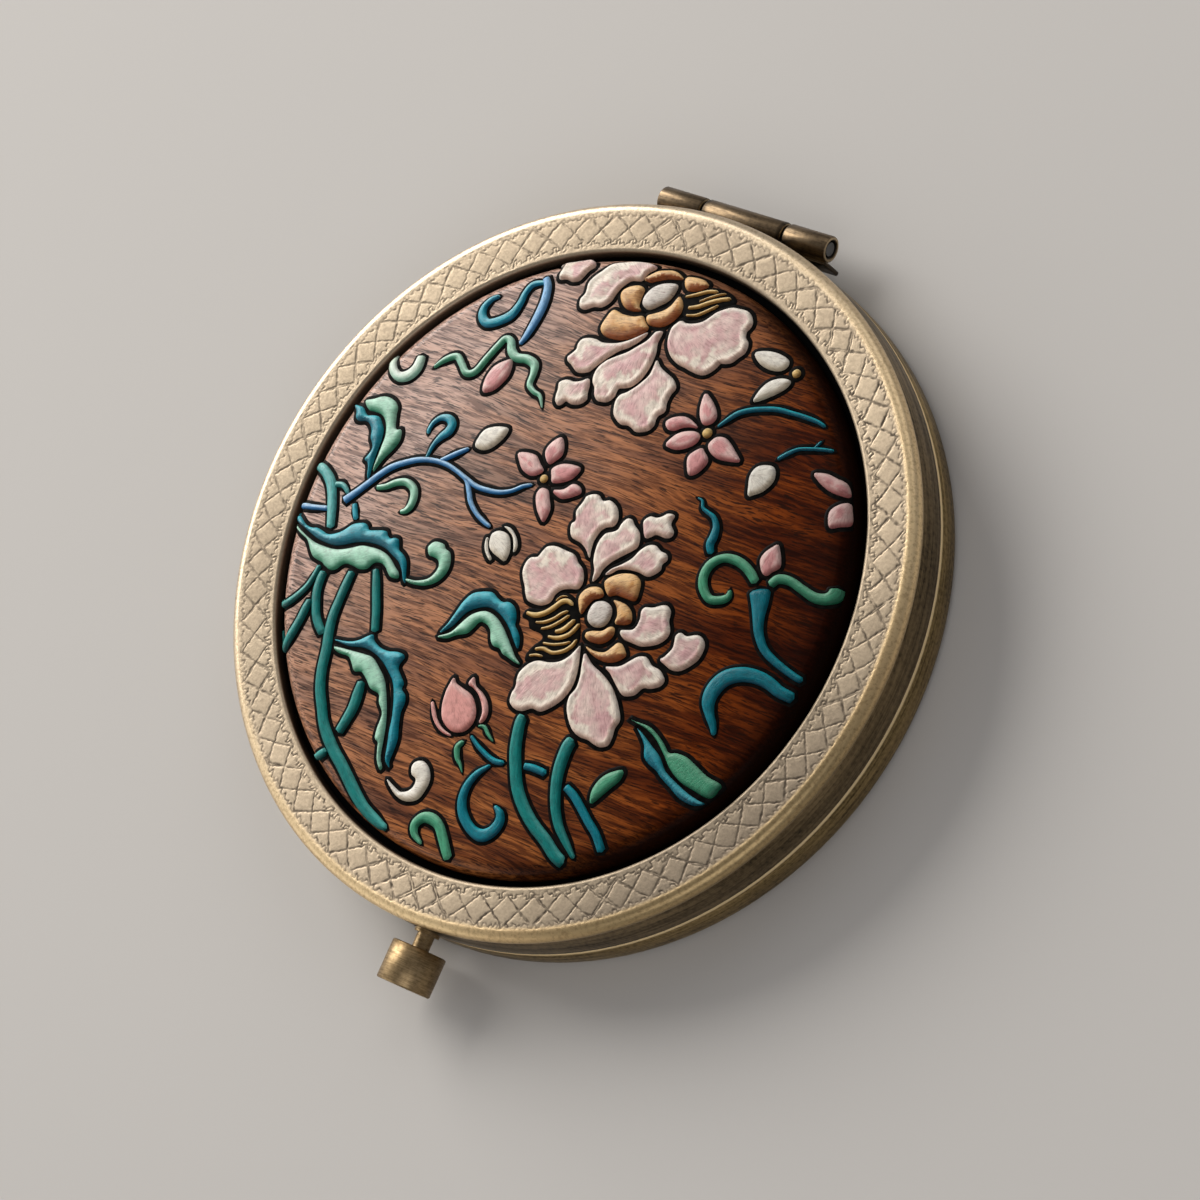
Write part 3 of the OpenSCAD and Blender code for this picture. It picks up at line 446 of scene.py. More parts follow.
def lacquered_wood():
    """Red-brown wood with its grain along X, under clear lacquer; a sheen is painted towards -X, shade
    towards +X, and a shadow on its rolled edge on the +X side.
    """
    surface = new_surface("lacquered_wood", 0, 0.3, specular=0.1, coat=0.22, coat_roughness=0.22)
    warp = surface.noise(surface.place, (40, 150, 150), 3)
    shift = surface.joined(None, surface.math("MULTIPLY", warp, 0.0035))
    moved = surface.vector("ADD", surface.place, shift)
    bands = surface.noise(moved, (35, 420, 420), 6, 0.62)
    fibres = surface.noise(moved, (260, 3600, 3600), 5, 0.6)
    pores = surface.noise(moved, (480, 8500, 8500), 2, 0.5)
    wood_shade_slant = slant(surface, SHADED_SIDE)
    sheen_slant = slant(surface, SHEEN_FADE_SIDE)
    base = surface.ramp(bands, [
        (0.32, (0.085, 0.020, 0.005)), (0.45, (0.190, 0.050, 0.012)),
        (0.56, (0.420, 0.140, 0.036)), (0.68, (0.140, 0.035, 0.009))])
    # Painted sheen: the colour lighter towards -X, standing for the lacquer's reflection
    painted_sheen = surface.ramp(sheen_slant, [(0.0, 0.74), (0.08, 0.57), (0.2, 0.36), (0.32, 0.22), (0.58, 0)])
    sheen_colour = surface.ramp(sheen_slant, [
        (0.0, (0.63, 0.43, 0.35)), (0.12, (0.57, 0.37, 0.27)), (0.5, (0.56, 0.34, 0.23))])
    base = surface.mix(painted_sheen, base, sheen_colour)
    between = surface.times(base, (0.22, 0.16, 0.14), 0.82)
    base = surface.mix(surface.ramp(fibres, [(0.42, 0), (0.56, 1)]), between, base)
    # Painted shade: the wood darker towards +X
    base = surface.times(base, surface.ramp(wood_shade_slant, [
        (0.45, 1), (0.61, (0.78, 0.69, 0.58)), (0.7, (0.63, 0.48, 0.30)), (0.8, (0.44, 0.26, 0.10)),
        (0.95, (0.10, 0.04, 0.012))]))
    reach = surface.vector("LENGTH", surface.vector("MULTIPLY", surface.place, (1, 1, 0)))
    # Painted shadow on the rolled edge, on the +X side
    rim = surface.ramp_mm(reach, INLAY_R, [(0.91 * INLAY_R, 0), (0.985 * INLAY_R, 0.95)])
    shadow = surface.times(rim, surface.ramp(wood_shade_slant, [(0.35, 0), (0.7, 1)]))
    base = surface.mix(shadow, base, (0.006, 0.002, 0.001))
    gloss = surface.times(surface.ramp(shadow, [(0.0, 1), (0.8, 0.2)]),
                          surface.ramp(wood_shade_slant, [(0.42, 1), (0.8, 0.35)]))
    surface.give("Coat Weight", surface.times(gloss, (0.22, 0.22, 0.22)))
    surface.give("Specular IOR Level", surface.times(gloss, (0.1, 0.1, 0.1)))
    pitted = surface.ramp(pores, [(0.56, 0), (0.62, 0.85)])
    surface.paint(surface.mix(pitted, base, (0.012, 0.003, 0.001)))
    surface.bump(fibres, 0.25, 0.00004)
    return surface.material


def enamel(name, roughness, hatching=0.55):
    """Satin enamel in the colour painted on the mesh, which holds painted light and shade, with fine strokes
    along its flow and painted shade towards +X.
    """
    surface = new_surface(name, 0, roughness, specular=0.1, coat=0.1, coat_roughness=0.2)
    paint = surface.attribute("paint", "Color")
    flow = surface.attribute("flow", "Vector")
    strokes = surface.noise(flow, (4.0, 0.9, 1.0), 6, 0.7)
    hairs = surface.noise(flow, (14.0, 1.3, 1.0), 3, 0.6)
    mottle = surface.noise(surface.place, 1500, 4, 0.6)
    tone = surface.ramp(strokes, [(0.36, (0.74, 0.71, 0.71)), (0.46, (0.97, 0.96, 0.96)), (0.68, 1)])
    colour = surface.times(paint, tone, 0.85)
    colour = surface.times(colour, surface.ramp(hairs, [(0.38, (0.58, 0.50, 0.50)), (0.44, 1)]), hatching)
    colour = surface.times(colour, surface.ramp(mottle, [(0.38, 0.72), (0.54, 1)]), 0.6)
    sheen_slant = slant(surface, SHEEN_FADE_SIDE)
    surface.give("Coat Weight", surface.ramp(sheen_slant, [(0.0, 0.32), (0.25, 0.17), (0.5, 0.1)]))
    # Painted shade: the enamel darker towards +X
    shade = surface.ramp(slant(surface, SHADED_SIDE), [(0.5, 1), (0.8, 0.82), (0.97, 0.6)])
    surface.paint(surface.times(colour, shade))
    surface.bump(surface.weighted((strokes, 0.7), (mottle, 0.4), (hairs, 0.5)), 1.0, 0.00008)
    return surface.material


# The latch spring, which bends as the knob is pressed

SPRING_FOOT = (0, -31, 1.7)
SPRING_TOP = (0, -31, 3.9)
SPRING_CUTS = 10


def make_spring(flat_spring, material):
    """The flat spring again, cut into steps along its height between the base and the knob."""
    mesh = flat_spring.data.copy()
    mesh.transform(flat_spring.matrix_world)
    form = bmesh.new()
    form.from_mesh(mesh)
    for height in np.linspace(SPRING_FOOT[2], SPRING_TOP[2], SPRING_CUTS):
        whole = form.verts[:] + form.edges[:] + form.faces[:]
        bmesh.ops.bisect_plane(form, geom=whole, plane_co=(0, 0, height * MM), plane_no=(0, 0, 1))
    form.to_mesh(mesh)
    form.free()
    mesh.materials.clear()
    mesh.materials.append(material)
    spring = bpy.data.objects.new("bending_spring", mesh)
    scene.collection.objects.link(spring)
    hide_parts("latch_spring")
    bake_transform(spring)


# Surfaces of revolution and the stamped bezel

def piece(name, verts, faces, body, slot, replaced, *materials):
    """A smooth mesh object from points in mm."""
    mesh = bpy.data.meshes.new(name)
    mesh.from_pydata([tuple(point) for point in np.asarray(verts) * MM], [], faces)
    mesh.polygons.foreach_set("use_smooth", [True] * len(mesh.polygons))
    mesh.update()
    for material in materials:
        mesh.materials.append(material)
    thing = bpy.data.objects.new(name, mesh)
    scene.collection.objects.link(thing)
    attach(thing, body)
    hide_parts(replaced)
    return mesh


def note(mesh, name, kind, key, values):
    """An attribute that a material reads at each point of a mesh."""
    attribute = mesh.attributes.new(name, kind, "POINT")
    attribute.data.foreach_set(key, values)


def grid_faces(rows, columns, closed=False):
    """Quads of a grid that is closed round its columns, and round its rows if asked."""
    faces = []
    for row in range(rows if closed else rows - 1):
        a = row * columns
        b = (row + 1) % rows * columns
        faces += [(a + i, b + i, b + (i + 1) % columns, a + (i + 1) % columns) for i in range(columns)]
    return faces


def arc(middle, radius, start, end, count):
    angles = np.radians(np.linspace(start, end, count))
    return [(middle[0] + radius * math.cos(a), middle[1] + radius * math.sin(a)) for a in angles]


def smooth_step(value, low, high):
    share = np.clip((value - low) / (high - low), 0, 1)
    return share * share * (3 - 2 * share)


def wander(points, scale, seed):
    """Smooth unevenness, from -1 to 1, over flat points."""
    return np.array([noise.noise((x * scale, y * scale, seed)) for x, y in points])


def dome(r, lift=0.0):
    """(radius, height) of the point of the dome's surface at radius r, lifted along its normal."""
    join = ROLL_R * CROWN_R / (CROWN_R - ROLL)
    if r < join:
        lean = math.asin(r / CROWN_R)
        radius = CROWN_R + lift
        return radius * math.sin(lean), CROWN_Z - CROWN_R + radius * math.cos(lean)
    lean = math.asin(min((r - ROLL_R) / ROLL, 1))
    radius = ROLL + lift
    return ROLL_R + radius * math.sin(lean), ROLL_Z + radius * math.cos(lean)


WOOD_TURNS = 512
WOOD_HUB = 0.5
WOOD_BEND = 27


def make_wood():
    section = [dome(r) for r in np.linspace(WOOD_HUB, WOOD_BEND, 30)]
    section += [dome(r) for r in np.linspace(WOOD_BEND + 0.2, INLAY_R, 36)]
    section += [(INLAY_R, SEAT_Z + 0.2), (INLAY_R - 0.1, SEAT_Z + 0.04)]
    section += [(INLAY_R - 0.25, SEAT_Z), (WOOD_HUB, SEAT_Z)]
    turns = np.linspace(0, 2 * math.pi, WOOD_TURNS, endpoint=False)
    verts = [(r * math.cos(a), r * math.sin(a), z) for r, z in section for a in turns]
    faces = grid_faces(len(section), WOOD_TURNS)
    top = len(verts)
    verts += [(0, 0, CROWN_Z), (0, 0, SEAT_Z)]
    last = (len(section) - 1) * WOOD_TURNS
    for i in range(WOOD_TURNS):
        j = (i + 1) % WOOD_TURNS
        faces += [(top, i, j), (top + 1, last + j, last + i)]
    piece("wood_dome", verts, faces, "lid", "lacquered_wood", "wood_inlay", lacquered_wood())


# The stamped pattern repeats every STEP degrees. Its lines are (turn in degrees, radius in mm):
# the lattice's two for one half cell, mirrored for the other half, and its borders for a whole cell.
STEP = 5
MID_R = 32.3
LINE_WIDTH = 0.095
LINE_DEPTH = 0.06
TWIN_GAP = 0.13
TILE_CROWN = 0.015
LATTICE = [
    [(0, MID_R), (2.5, 33.68)],
    [(0, MID_R), (2.5, 30.9)],
]
BORDERS = [
    [(0, 33.82), (0.5, 33.58), (1.0, 33.8), (1.2, 33.45), (1.8, 33.56), (1.9, 33.84), (2.4, 33.8),
     (2.6, 33.56), (3.1, 33.52), (3.4, 33.82), (4.0, 33.78), (4.1, 33.45), (4.6, 33.56), (5, 33.82)],
    [(0, 30.62), (0.4, 30.95), (1.0, 30.86), (1.1, 31.22), (1.7, 31.12), (1.6, 30.72), (2.4, 30.6),
     (2.8, 30.92), (3.4, 30.82), (3.5, 31.2), (4.2, 31.1), (4.1, 30.76), (5, 30.62)],
]


def distance_to(points, lines):
    """Distance of each point from the nearest of some lines, given as (turn, radius)."""
    near = np.full(len(points), 9.0)
    for line in lines:
        corners = np.array(line) * (math.radians(MID_R), 1)
        for start, end in zip(corners, corners[1:]):
            run = end - start
            share = np.clip(((points - start) @ run) / (run @ run), 0, 1)
            near = np.minimum(near, np.linalg.norm(points - start - share[:, None] * run, axis=1))
    return near


def stamped(turn, radius):
    """How deep each point of the face lies in the stamped lines, and how high on a tile, from 0 to 1."""
    along = turn * math.radians(MID_R)
    cell = STEP * math.radians(MID_R)
    loose = 0.08 + 0.26 * smooth_step(np.abs(radius - MID_R), 1.0, 1.6)
    unrolled = np.column_stack([along, radius])
    x = along + loose * wander(unrolled, 0.9, 1) + 0.09 * wander(unrolled, 3.2, 2)
    y = radius + 0.7 * loose * wander(unrolled, 0.9, 7) + 0.09 * wander(unrolled, 3.2, 8)
    folded = np.abs((x + cell / 2) % cell - cell / 2)
    lattice = distance_to(np.column_stack([folded, y]), LATTICE)
    near = distance_to(np.column_stack([x % cell, y]), BORDERS)
    twin = TWIN_GAP * np.clip(0.2 + 1.3 * wander(unrolled, 0.3, 5), 0, 1)
    near = np.minimum(near, np.abs(lattice - twin))
    worn = 0.7 + 0.8 * wander(unrolled, 1.8, 3)
    worn -= 0.1 * (np.abs(radius - MID_R) > 1.3)
    depth = np.clip(1 - (near / LINE_WIDTH) ** 2, 0, 1) ** 1.5 * np.clip(worn, 0.15, 1)
    return depth, np.clip(near / 0.5, 0, 1)


BEZEL_TURNS = 2880
SHEET = 0.7
FACE_END_R = CASE_R - BEAD_R - 0.02
SKIRT_R = 34
SKIRT_TOP_R = 33.8


def make_bezel():
    face = [(r, TOP_Z) for r in np.linspace(WINDOW_R + LIP_ROUND + 0.05, FACE_END_R, 52)]
    section = [(SEAT_R, SEAT_Z), (WINDOW_R, SEAT_Z), (WINDOW_R, TOP_Z - 1), (WINDOW_R, TOP_Z - SHEET)]
    section += arc((WINDOW_R + LIP_ROUND, TOP_Z - LIP_ROUND), LIP_ROUND, 180, 90, 7)
    first = len(section)
    section += face
    section += arc((CASE_R - BEAD_R, TOP_Z - BEAD_R), BEAD_R, 88, -80, 20)
    section += [(SKIRT_R, BEZEL_LOW_Z), (SKIRT_TOP_R, TOP_Z - SHEET), (SEAT_R, TOP_Z - SHEET)]
    radius, height = np.repeat(section, BEZEL_TURNS, axis=0).T
    turn = np.tile(np.linspace(0, 360, BEZEL_TURNS, endpoint=False), len(section))
    depth = np.zeros(len(turn))
    crown = np.zeros(len(turn))
    part = slice(first * BEZEL_TURNS, (first + len(face) + 4) * BEZEL_TURNS)
    depth[part], crown[part] = stamped(turn[part], radius[part])
    fade = np.clip((FACE_END_R - radius) / 0.12, 0, 1)
    ditch = np.clip(1 - np.abs(radius - (CASE_R - BEAD_R)) / 0.1, 0, 1) * (height > TOP_Z - 0.1)
    depth = np.maximum(depth * fade, 0.25 * ditch)
    shallow = np.clip((CASE_R - BEAD_R - 0.25 - radius) / 0.5, 0.25, 1)
    height = height - LINE_DEPTH * depth * shallow - TILE_CROWN * fade * (1 - crown) * (crown > 0)
    angle = np.radians(turn)
    verts = np.column_stack([radius * np.cos(angle), radius * np.sin(angle), height])
    faces = grid_faces(len(section), BEZEL_TURNS, closed=True)
    bezel = piece("bezel_stamped", verts, faces, "lid", "bezel_metal", "bezel_ring", bezel_metal())
    # The patina in the stamped lines, and painted shade on the window's inner wall below its lip
    shade = 0.95 * depth + 3 * np.clip((TOP_Z - 0.12 - height) / 0.3, 0, 1) * (radius < WINDOW_R + 0.5)
    note(bezel, "lines_and_wall_shade", "FLOAT", "value", np.clip(shade, 0, 1))


# The raised ornament. Its pieces are outlines and strokes in mm, seen from above. Points lie FINE
# apart along a curve, on rings at the INSETS from an outline, and COARSE apart further in.

RELIEF_H = 0.40
TOP_GAP = 0.005
PILLOW_ROLL = 0.34
ROLLED_SHARE = 0.84
OUTLINE_W = 0.35
OUTLINE_H = 0.06
EDGE_R = 28.9
LIGHT_SIDE = np.array((-0.55, 0.84))
INSETS = (0.03, 0.09, 0.18, 0.3, 0.48, 0.64, 0.8)
FINE = 0.16
COARSE = 0.3
CURVE_STEPS = 12
STROKE_STEPS = 11

# A stroke's ends are blunt over BLUNT of its half width. Its black line thins out over TAPER to
# an end that is slimmer than THIN_END, reaches BEYOND the ends, and starts SUNK in the wood.
BLUNT = 0.5
THIN_END = 0.55
TAPER = 1.3
BEYOND = OUTLINE_W * 0.8
SUNK = 0.04


def curve_through(numbers, closed):
    """Points about FINE apart on a curve, closed through x, y pairs or open through x, y, width."""
    given = np.array(numbers, dtype=float).reshape(-1, 2 if closed else 3)
    count = len(given)
    dense = []
    for i in range(count if closed else count - 1):
        around = [(i + k) % count if closed else min(max(i + k, 0), count - 1) for k in (-1, 0, 1, 2)]
        a, b, c, d = given[around]
        for t in np.linspace(0, 1, CURVE_STEPS, endpoint=False):
            dense.append(0.5 * (2 * b + (c - a) * t + (2 * a - 5 * b + 4 * c - d) * t ** 2
                                + (3 * b - a - 3 * c + d) * t ** 3))
    dense = np.array(dense + [given[0 if closed else -1]])
    run = length_along(dense[:, :2])
    places = np.linspace(0, run[-1], max(int(run[-1] / FINE), 8) + 1)
    even = np.column_stack([np.interp(places, run, column) for column in dense.T])
    return even[:-1] if closed else even


def length_along(line):
    """How far each point lies along a line."""
    return np.concatenate([[0], np.cumsum(np.linalg.norm(np.diff(line, axis=0), axis=1))])


def normals_of(line, closed):
    """Left-hand normals of a curve."""
    run = np.roll(line, -1, axis=0) - np.roll(line, 1, axis=0) if closed else np.gradient(line, axis=0)
    run = run / np.maximum(np.linalg.norm(run, axis=1), 1e-9)[:, None]
    return np.column_stack([-run[:, 1], run[:, 0]])


def nearest(points, outline):
    """Distance of each point from a closed outline, and the number of the nearest side."""
    run = np.roll(outline, -1, axis=0) - outline
    gap = points[:, None, :] - outline[None]
    share = np.clip((gap * run).sum(2) / np.maximum((run * run).sum(1), 1e-12), 0, 1)
    away = np.linalg.norm(gap - share[..., None] * run, axis=2)
    side = away.argmin(1)
    return away[np.arange(len(points)), side], side


def is_inside(points, outline):
    x, y = points[:, 0][:, None], points[:, 1][:, None]
    x0, y0 = outline.T
    x1, y1 = np.roll(x0, -1), np.roll(y0, -1)
    crossing = (y0 > y) != (y1 > y)
    with np.errstate(divide="ignore", invalid="ignore"):
        at = x0 + (y - y0) / (y1 - y0) * (x1 - x0)
    return (crossing & (x < at)).sum(1) % 2 == 1


def inner(points, outline, gap):
    """The points that lie inside an outline, and further than gap from it."""
    away, _ = nearest(points, outline)
    return points[(away > gap) & is_inside(points, outline)]


def fill_grid(outline):
    """Staggered points, COARSE apart, over the box round an outline."""
    low, high = outline.min(0), outline.max(0)
    return np.array([(x + k % 2 * COARSE / 2, y)
                     for k, y in enumerate(np.arange(low[1], high[1], COARSE * 0.87))
                     for x in np.arange(low[0], high[0], COARSE)])


def bell(value, middle, width):
    return np.exp(-((value - middle) / width) ** 2)


class Paint:
    """Colours of one kind of enamel: its middle, its rim, and the painted highlight and painted shade of its
    lit and shaded sides, which in part also stand for the enamel's own darker sides.
    """

    def __init__(self, middle, rim=None, rim_width=0.5, lit=None, shaded=None, side_width=0.7, line=None,
                 blotchy=0.0):
        self.middle, self.rim, self.lit, self.shaded = (
            np.array(colour or middle) for colour in (middle, rim, lit, shaded))
        self.line = line
        self.blotchy = blotchy
        self.rim_width = rim_width
        self.side_width = side_width

    def at(self, points, edge, outward, root_side=0.0):
        """The colour of each point, from its distance to the edge and the edge's direction."""
        uneven = wander(points, 0.8, 0.5) + 0.5 * wander(points, 2.3, 4.5)
        inward = edge + self.rim_width * (1.4 * uneven + root_side)
        share = smooth_step(inward, self.rim_width * 0.75, self.rim_width * 1.15)
        blotches = self.blotchy * wander(points, 1.3, 8.5)
        wash = share * np.clip(1 - 0.25 * (self.blotchy > 0) + blotches, 0.15, 1)
        colour = self.rim + wash[:, None] * (self.middle - self.rim)
        if self.line:
            drawn = 0.55 * bell(inward, self.rim_width, 0.12) * np.clip(0.6 + 1.2 * uneven[::-1], 0, 1)
            colour = colour + drawn[:, None] * (np.array(self.line) - colour)
        # Painted highlight on edges that face LIGHT_SIDE, and painted shade on edges that face away
        facing = outward @ LIGHT_SIDE
        fade = 1 - smooth_step(edge, 0.1 * self.side_width, self.side_width)
        dark = np.clip(-facing * 1.3, 0, 1) * fade
        lit = np.clip(facing * 1.2, 0, 1) * fade
        colour = colour + dark[:, None] * (self.shaded - colour)
        return colour + (lit * 0.8)[:, None] * (self.lit - colour)


def ends_doubled(values):
    return np.concatenate([values[:1], values, values[-1:]])


def lengthened(line, run, extra):
    """A line with a point more beyond each end, and how far each point lies along it."""
    longer = ends_doubled(line)
    for end, before in ((0, 1), (-1, -2)):
        ahead = line[end] - line[before]
        longer[end] += ahead / np.linalg.norm(ahead) * extra
    return longer, np.concatenate([[0], run + extra, [run[-1] + 2 * extra]])


class Relief:
    """One mesh of enamelled pieces with their black outlines."""

    def __init__(self):
        self.verts = []
        self.faces = []
        self.materials = []
        self.colours = []
        self.flows = []

    def add(self, flat, lift, faces, black, colour, flow):
        """Faces on flat points, set on the dome at each point's lift."""
        start = len(self.verts)
        for (x, y), up in zip(flat, lift):
            r = math.hypot(x, y)
            reach = min(r, EDGE_R)
            room = LIMIT_Z - TOP_GAP - dome(reach)[1]
            out, z = dome(reach, min(up, room))
            scale = out / r if r > 1e-6 else 1
            self.verts.append((x * scale, y * scale, z))
        self.faces += [tuple(start + i for i in face) for face in faces]
        self.materials += [int(black)] * len(faces)
        self.colours += np.broadcast_to(colour, (len(flat), 3)).tolist()
        self.flows += np.broadcast_to(flow, (len(flat), 3)).tolist()

    def outline_strip(self, outline, outward):
        """The black line round a closed outline."""
        offsets = (-0.12, 0.02, OUTLINE_W * 0.7, OUTLINE_W, OUTLINE_W + 0.06)
        lifts = (OUTLINE_H, OUTLINE_H, OUTLINE_H, OUTLINE_H * 0.4, -0.03)
        flat = np.concatenate([outline + outward * offset for offset in offsets])
        self.add(flat, np.repeat(lifts, len(outline)), grid_faces(len(offsets), len(outline)), True, 0, 0)

    def shape(self, numbers, paint, root=None, height=RELIEF_H, roll=PILLOW_ROLL, outlined=True,
              black=False, ridge=0.0):
        """A pillow on a closed outline, lower where it is slim. Its painted strokes run from root."""
        outline = curve_through(numbers, True)
        x, y = outline.T
        if (x * np.roll(y, -1) - np.roll(x, -1) * y).sum() < 0:
            outline = outline[::-1]
        inward = normals_of(outline, True)
        if outlined:
            self.outline_strip(outline, -inward)
        rings = [outline]
        rings += [inner((outline + inward * inset)[::2 if inset > 0.2 else 1], outline, inset * 0.96)
                  for inset in INSETS]
        rings.append(inner(fill_grid(outline), outline, INSETS[-1] + 0.2))
        border = list(range(len(outline)))
        net = geometry.delaunay_2d_cdt([Vector(p) for p in np.concatenate(rings)], [], [border], 1, 1e-5)
        flat = np.array([tuple(p) for p in net[0]])
        edge, side = nearest(flat, outline)
        roll = min(roll, max(edge.max() * 0.95, 0.1))
        height = min(height, 0.16 + edge.max() * 0.55)
        share = np.clip(edge / roll, 0, 1)
        swell = ROLLED_SHARE * np.sqrt(1 - (1 - share) ** 2)
        swell += (1 - ROLLED_SHARE) * smooth_step(edge, 0, max(edge.max(), 0.5))
        swell += ridge * (bell(edge, 0.34, 0.17) - 0.7 * bell(edge, 0.74, 0.2))
        away = flat - np.array(root or numbers[:2])
        reach = np.linalg.norm(away, axis=1)
        turn = np.arctan2(away[:, 1], away[:, 0])
        if np.ptp(turn) > 3:
            turn = np.arctan2(-away[:, 1], -away[:, 0])
        flow = np.column_stack([turn * max(reach.mean(), 1), reach, np.full(len(flat), numbers[0])])
        near_root = 1 - smooth_step(reach, reach.min() + 0.8, reach.min() + 0.55 * np.ptp(reach))
        colour = paint.at(flat, edge, -inward[side], near_root * (ridge > 0))
        self.add(flat, height * swell, [tuple(face) for face in net[2]], black, colour, flow)

    def stroke(self, numbers, paint, outlined=True, base=0.0):
        """A half-round strip along points given as x, y, width."""
        line = curve_through(numbers, False)
        flat, width = line[:, :2], line[:, 2]
        side = normals_of(flat, False)
        run = length_along(flat)
        if outlined:
            left = np.minimum(run, run[-1] - run)
            slim = np.where(run < run[-1] / 2, width[0], width[-1]) < THIN_END
            half = width / 2 + OUTLINE_W * np.where(slim, np.clip(0.3 + 0.7 * left / TAPER, 0, 1), 1)
            ends = lengthened(flat, run, BEYOND)
            self.sweep(*ends, ends_doubled(side), ends_doubled(half), OUTLINE_H + SUNK, None, -SUNK)
        tall = np.minimum(RELIEF_H * 0.9, 0.13 + width * 0.28)
        self.sweep(flat, run, side, width / 2, tall, paint, base)

    def sweep(self, flat, run, side, half, tall, paint, base):
        """A strip of enamel along a line or, without paint, the flat black line under it."""
        left = np.minimum(run, run[-1] - run)
        cap = np.sqrt(1 - (1 - np.clip(left / np.maximum(BLUNT * half, 0.05), 0, 1)) ** 2)
        cap = np.maximum(cap, 0.02)
        across = np.sin(np.linspace(-math.pi / 2, math.pi / 2, STROKE_STEPS))
        points = np.concatenate([flat + side * (half * cap * u)[:, None] for u in across])
        power, rise = (3.4, tall * cap) if paint else (8, np.full(len(flat), tall))
        lift = np.concatenate([base + rise * (1 - abs(u) ** power) ** 0.5 for u in across])
        colour, flow = 0, 0
        if paint:
            edge = np.concatenate([half * cap * (1 - abs(u)) for u in across])
            outward = np.concatenate([side * (1 if u > 0 else -1) for u in across])
            colour = paint.at(points, edge, outward)
            place = np.concatenate([half * u for u in across])
            flow = np.column_stack([place, np.tile(run, len(across)), np.full(len(points), flat[0][0])])
        count = len(flat)
        faces = [(k * count + i, k * count + i + 1, (k + 1) * count + i + 1, (k + 1) * count + i)
                 for k in range(len(across) - 1) for i in range(count - 1)]
        self.add(points, lift, faces, not paint, colour, flow)

    def finish(self, name, slot, material, replaced):
        mesh = piece(name, self.verts, self.faces, "lid", slot, replaced, material, BLACK)
        mesh.polygons.foreach_set("material_index", self.materials)
        note(mesh, "paint", "FLOAT_COLOR", "color", [c for colour in self.colours for c in (*colour, 1)])
        note(mesh, "flow", "FLOAT_VECTOR", "vector", [c for vector in self.flows for c in vector])


# Outlines as x, y, ... and strokes as x, y, width, ..., read off the photograph
LOWER_PETALS = [
    (-1.1,.1, -.8,.7, 0,1, 1.1,.95, 2.2,.85, 2.9,.3, 3.6,-.1, 4.1,-.8, 4.25,-1.5, 4,-2, 3.3,-2.2, 2.6,-2.5,
     2.1,-3.1, 1.95,-3.9, 1.3,-4.45, .4,-4.6, -.4,-4.5, -.9,-4, -1.3,-3.4, -1.8,-2.8, -2.2,-2.1, -2.2,-1.2,
     -1.9,-.7, -1.3,-.45),
    (3.8,1, 3.1,1.6, 2.3,2, 1.2,2.2, .7,2.8, .55,3.4, .8,3.8, .45,4.6, .7,5.6, .8,6.2, 1.4,6.6, 2,6.65,
     2.6,6.3, 3.3,6.55, 4.2,6.2, 4.7,5.6, 4.9,4.9, 4.7,4.4, 4.1,4.1, 3.7,3.6, 3.5,2.6, 3.6,1.8),
    (5.1,-.9, 4.8,.1, 4.3,.9, 4,2, 4,2.8, 4.3,3.6, 4.9,3.95, 5.3,4.3, 5.4,4.9, 5.7,5.5, 6.2,5.6, 6.7,5.2,
     7.5,4.7, 7.9,3.9, 7.9,3.3, 7.3,2.6, 6.6,1.9, 6,1.2, 5.6,.4, 5.5,-.3),
    (6,.1, 6.4,.8, 7.2,1.5, 7.9,2.3, 8.3,3.2, 8.9,3.9, 9.6,4.1, 10.3,3.8, 11,3.7, 11.3,3.2, 11,2.7,
     11.1,2.2, 10.7,1.6, 10.1,1.2, 9.1,1.3, 8,1.2, 7.1,.9, 6.5,.3),
    (8.25,4.4, 7.7,5.1, 7.4,5.8, 7.8,6.4, 8.5,6.5, 9,6.8, 9.4,7.2, 10.1,7.2, 10.1,6.4, 10.7,5.8, 10.7,5.3,
     10.2,5, 9.2,5, 8.7,4.6),
    (9.8,-4.1, 11,-3.6, 11.2,-2.6, 11,-1.9, 11.2,-1.4, 12,-1.15, 12.8,-.65, 13.3,-.6, 13.8,-1, 14,-1.8,
     14.5,-2.6, 14.5,-3.3, 14,-4, 13.4,-4.4, 12.4,-4.8, 11.4,-4.8, 10.4,-4.7),
    (15.2,-2.8, 15.55,-2.4, 16.25,-2.5, 17.1,-2.1, 17.8,-2.2, 18.3,-2.8, 18.3,-3.9, 17.9,-4.7, 17.1,-5.55,
     16.25,-5.8, 15.4,-5.6, 14.7,-5.3, 15,-4.9, 15.4,-4, 15.3,-3.3),
    (9.9,-7.6, 11.2,-7.1, 12,-6.3, 12.6,-5.7, 13.4,-5.5, 14.2,-6, 15,-6.1, 15.55,-6.4, 16,-6.9, 15.8,-7.5,
     15,-8, 14.3,-8.2, 13.8,-9, 13,-9.4, 12.4,-9.3, 11.4,-8.6, 10.6,-8),
    (7.4,-7.1, 8.6,-7.8, 10,-8.3, 11.3,-9, 12.3,-9.9, 13.1,-10.9, 13.45,-11.6, 13.3,-12.4, 13.4,-13.2,
     13.3,-14, 12.6,-14.4, 11.9,-14.35, 11.2,-14.2, 10.3,-14.2, 9.4,-13.9, 8.6,-13.2, 7.9,-12.2, 7.7,-11.2,
     8,-10.3, 7.9,-9.2, 7.6,-8.2),
    (6.65,-6.6, 7,-7.4, 7.4,-8.6, 7.6,-9.8, 7.5,-10.8, 7.1,-11.8, 6.3,-12.8, 5.5,-13.4, 4.6,-13.4,
     3.8,-13.9, 3,-14, 2.2,-13.6, 2,-12.8, 2.1,-12.1, 1.9,-11.4, 1.9,-10.7, 2.4,-9.8, 3.2,-9.2, 4.3,-9,
     5.3,-8.6, 6,-7.9, 6.4,-7.1),
]
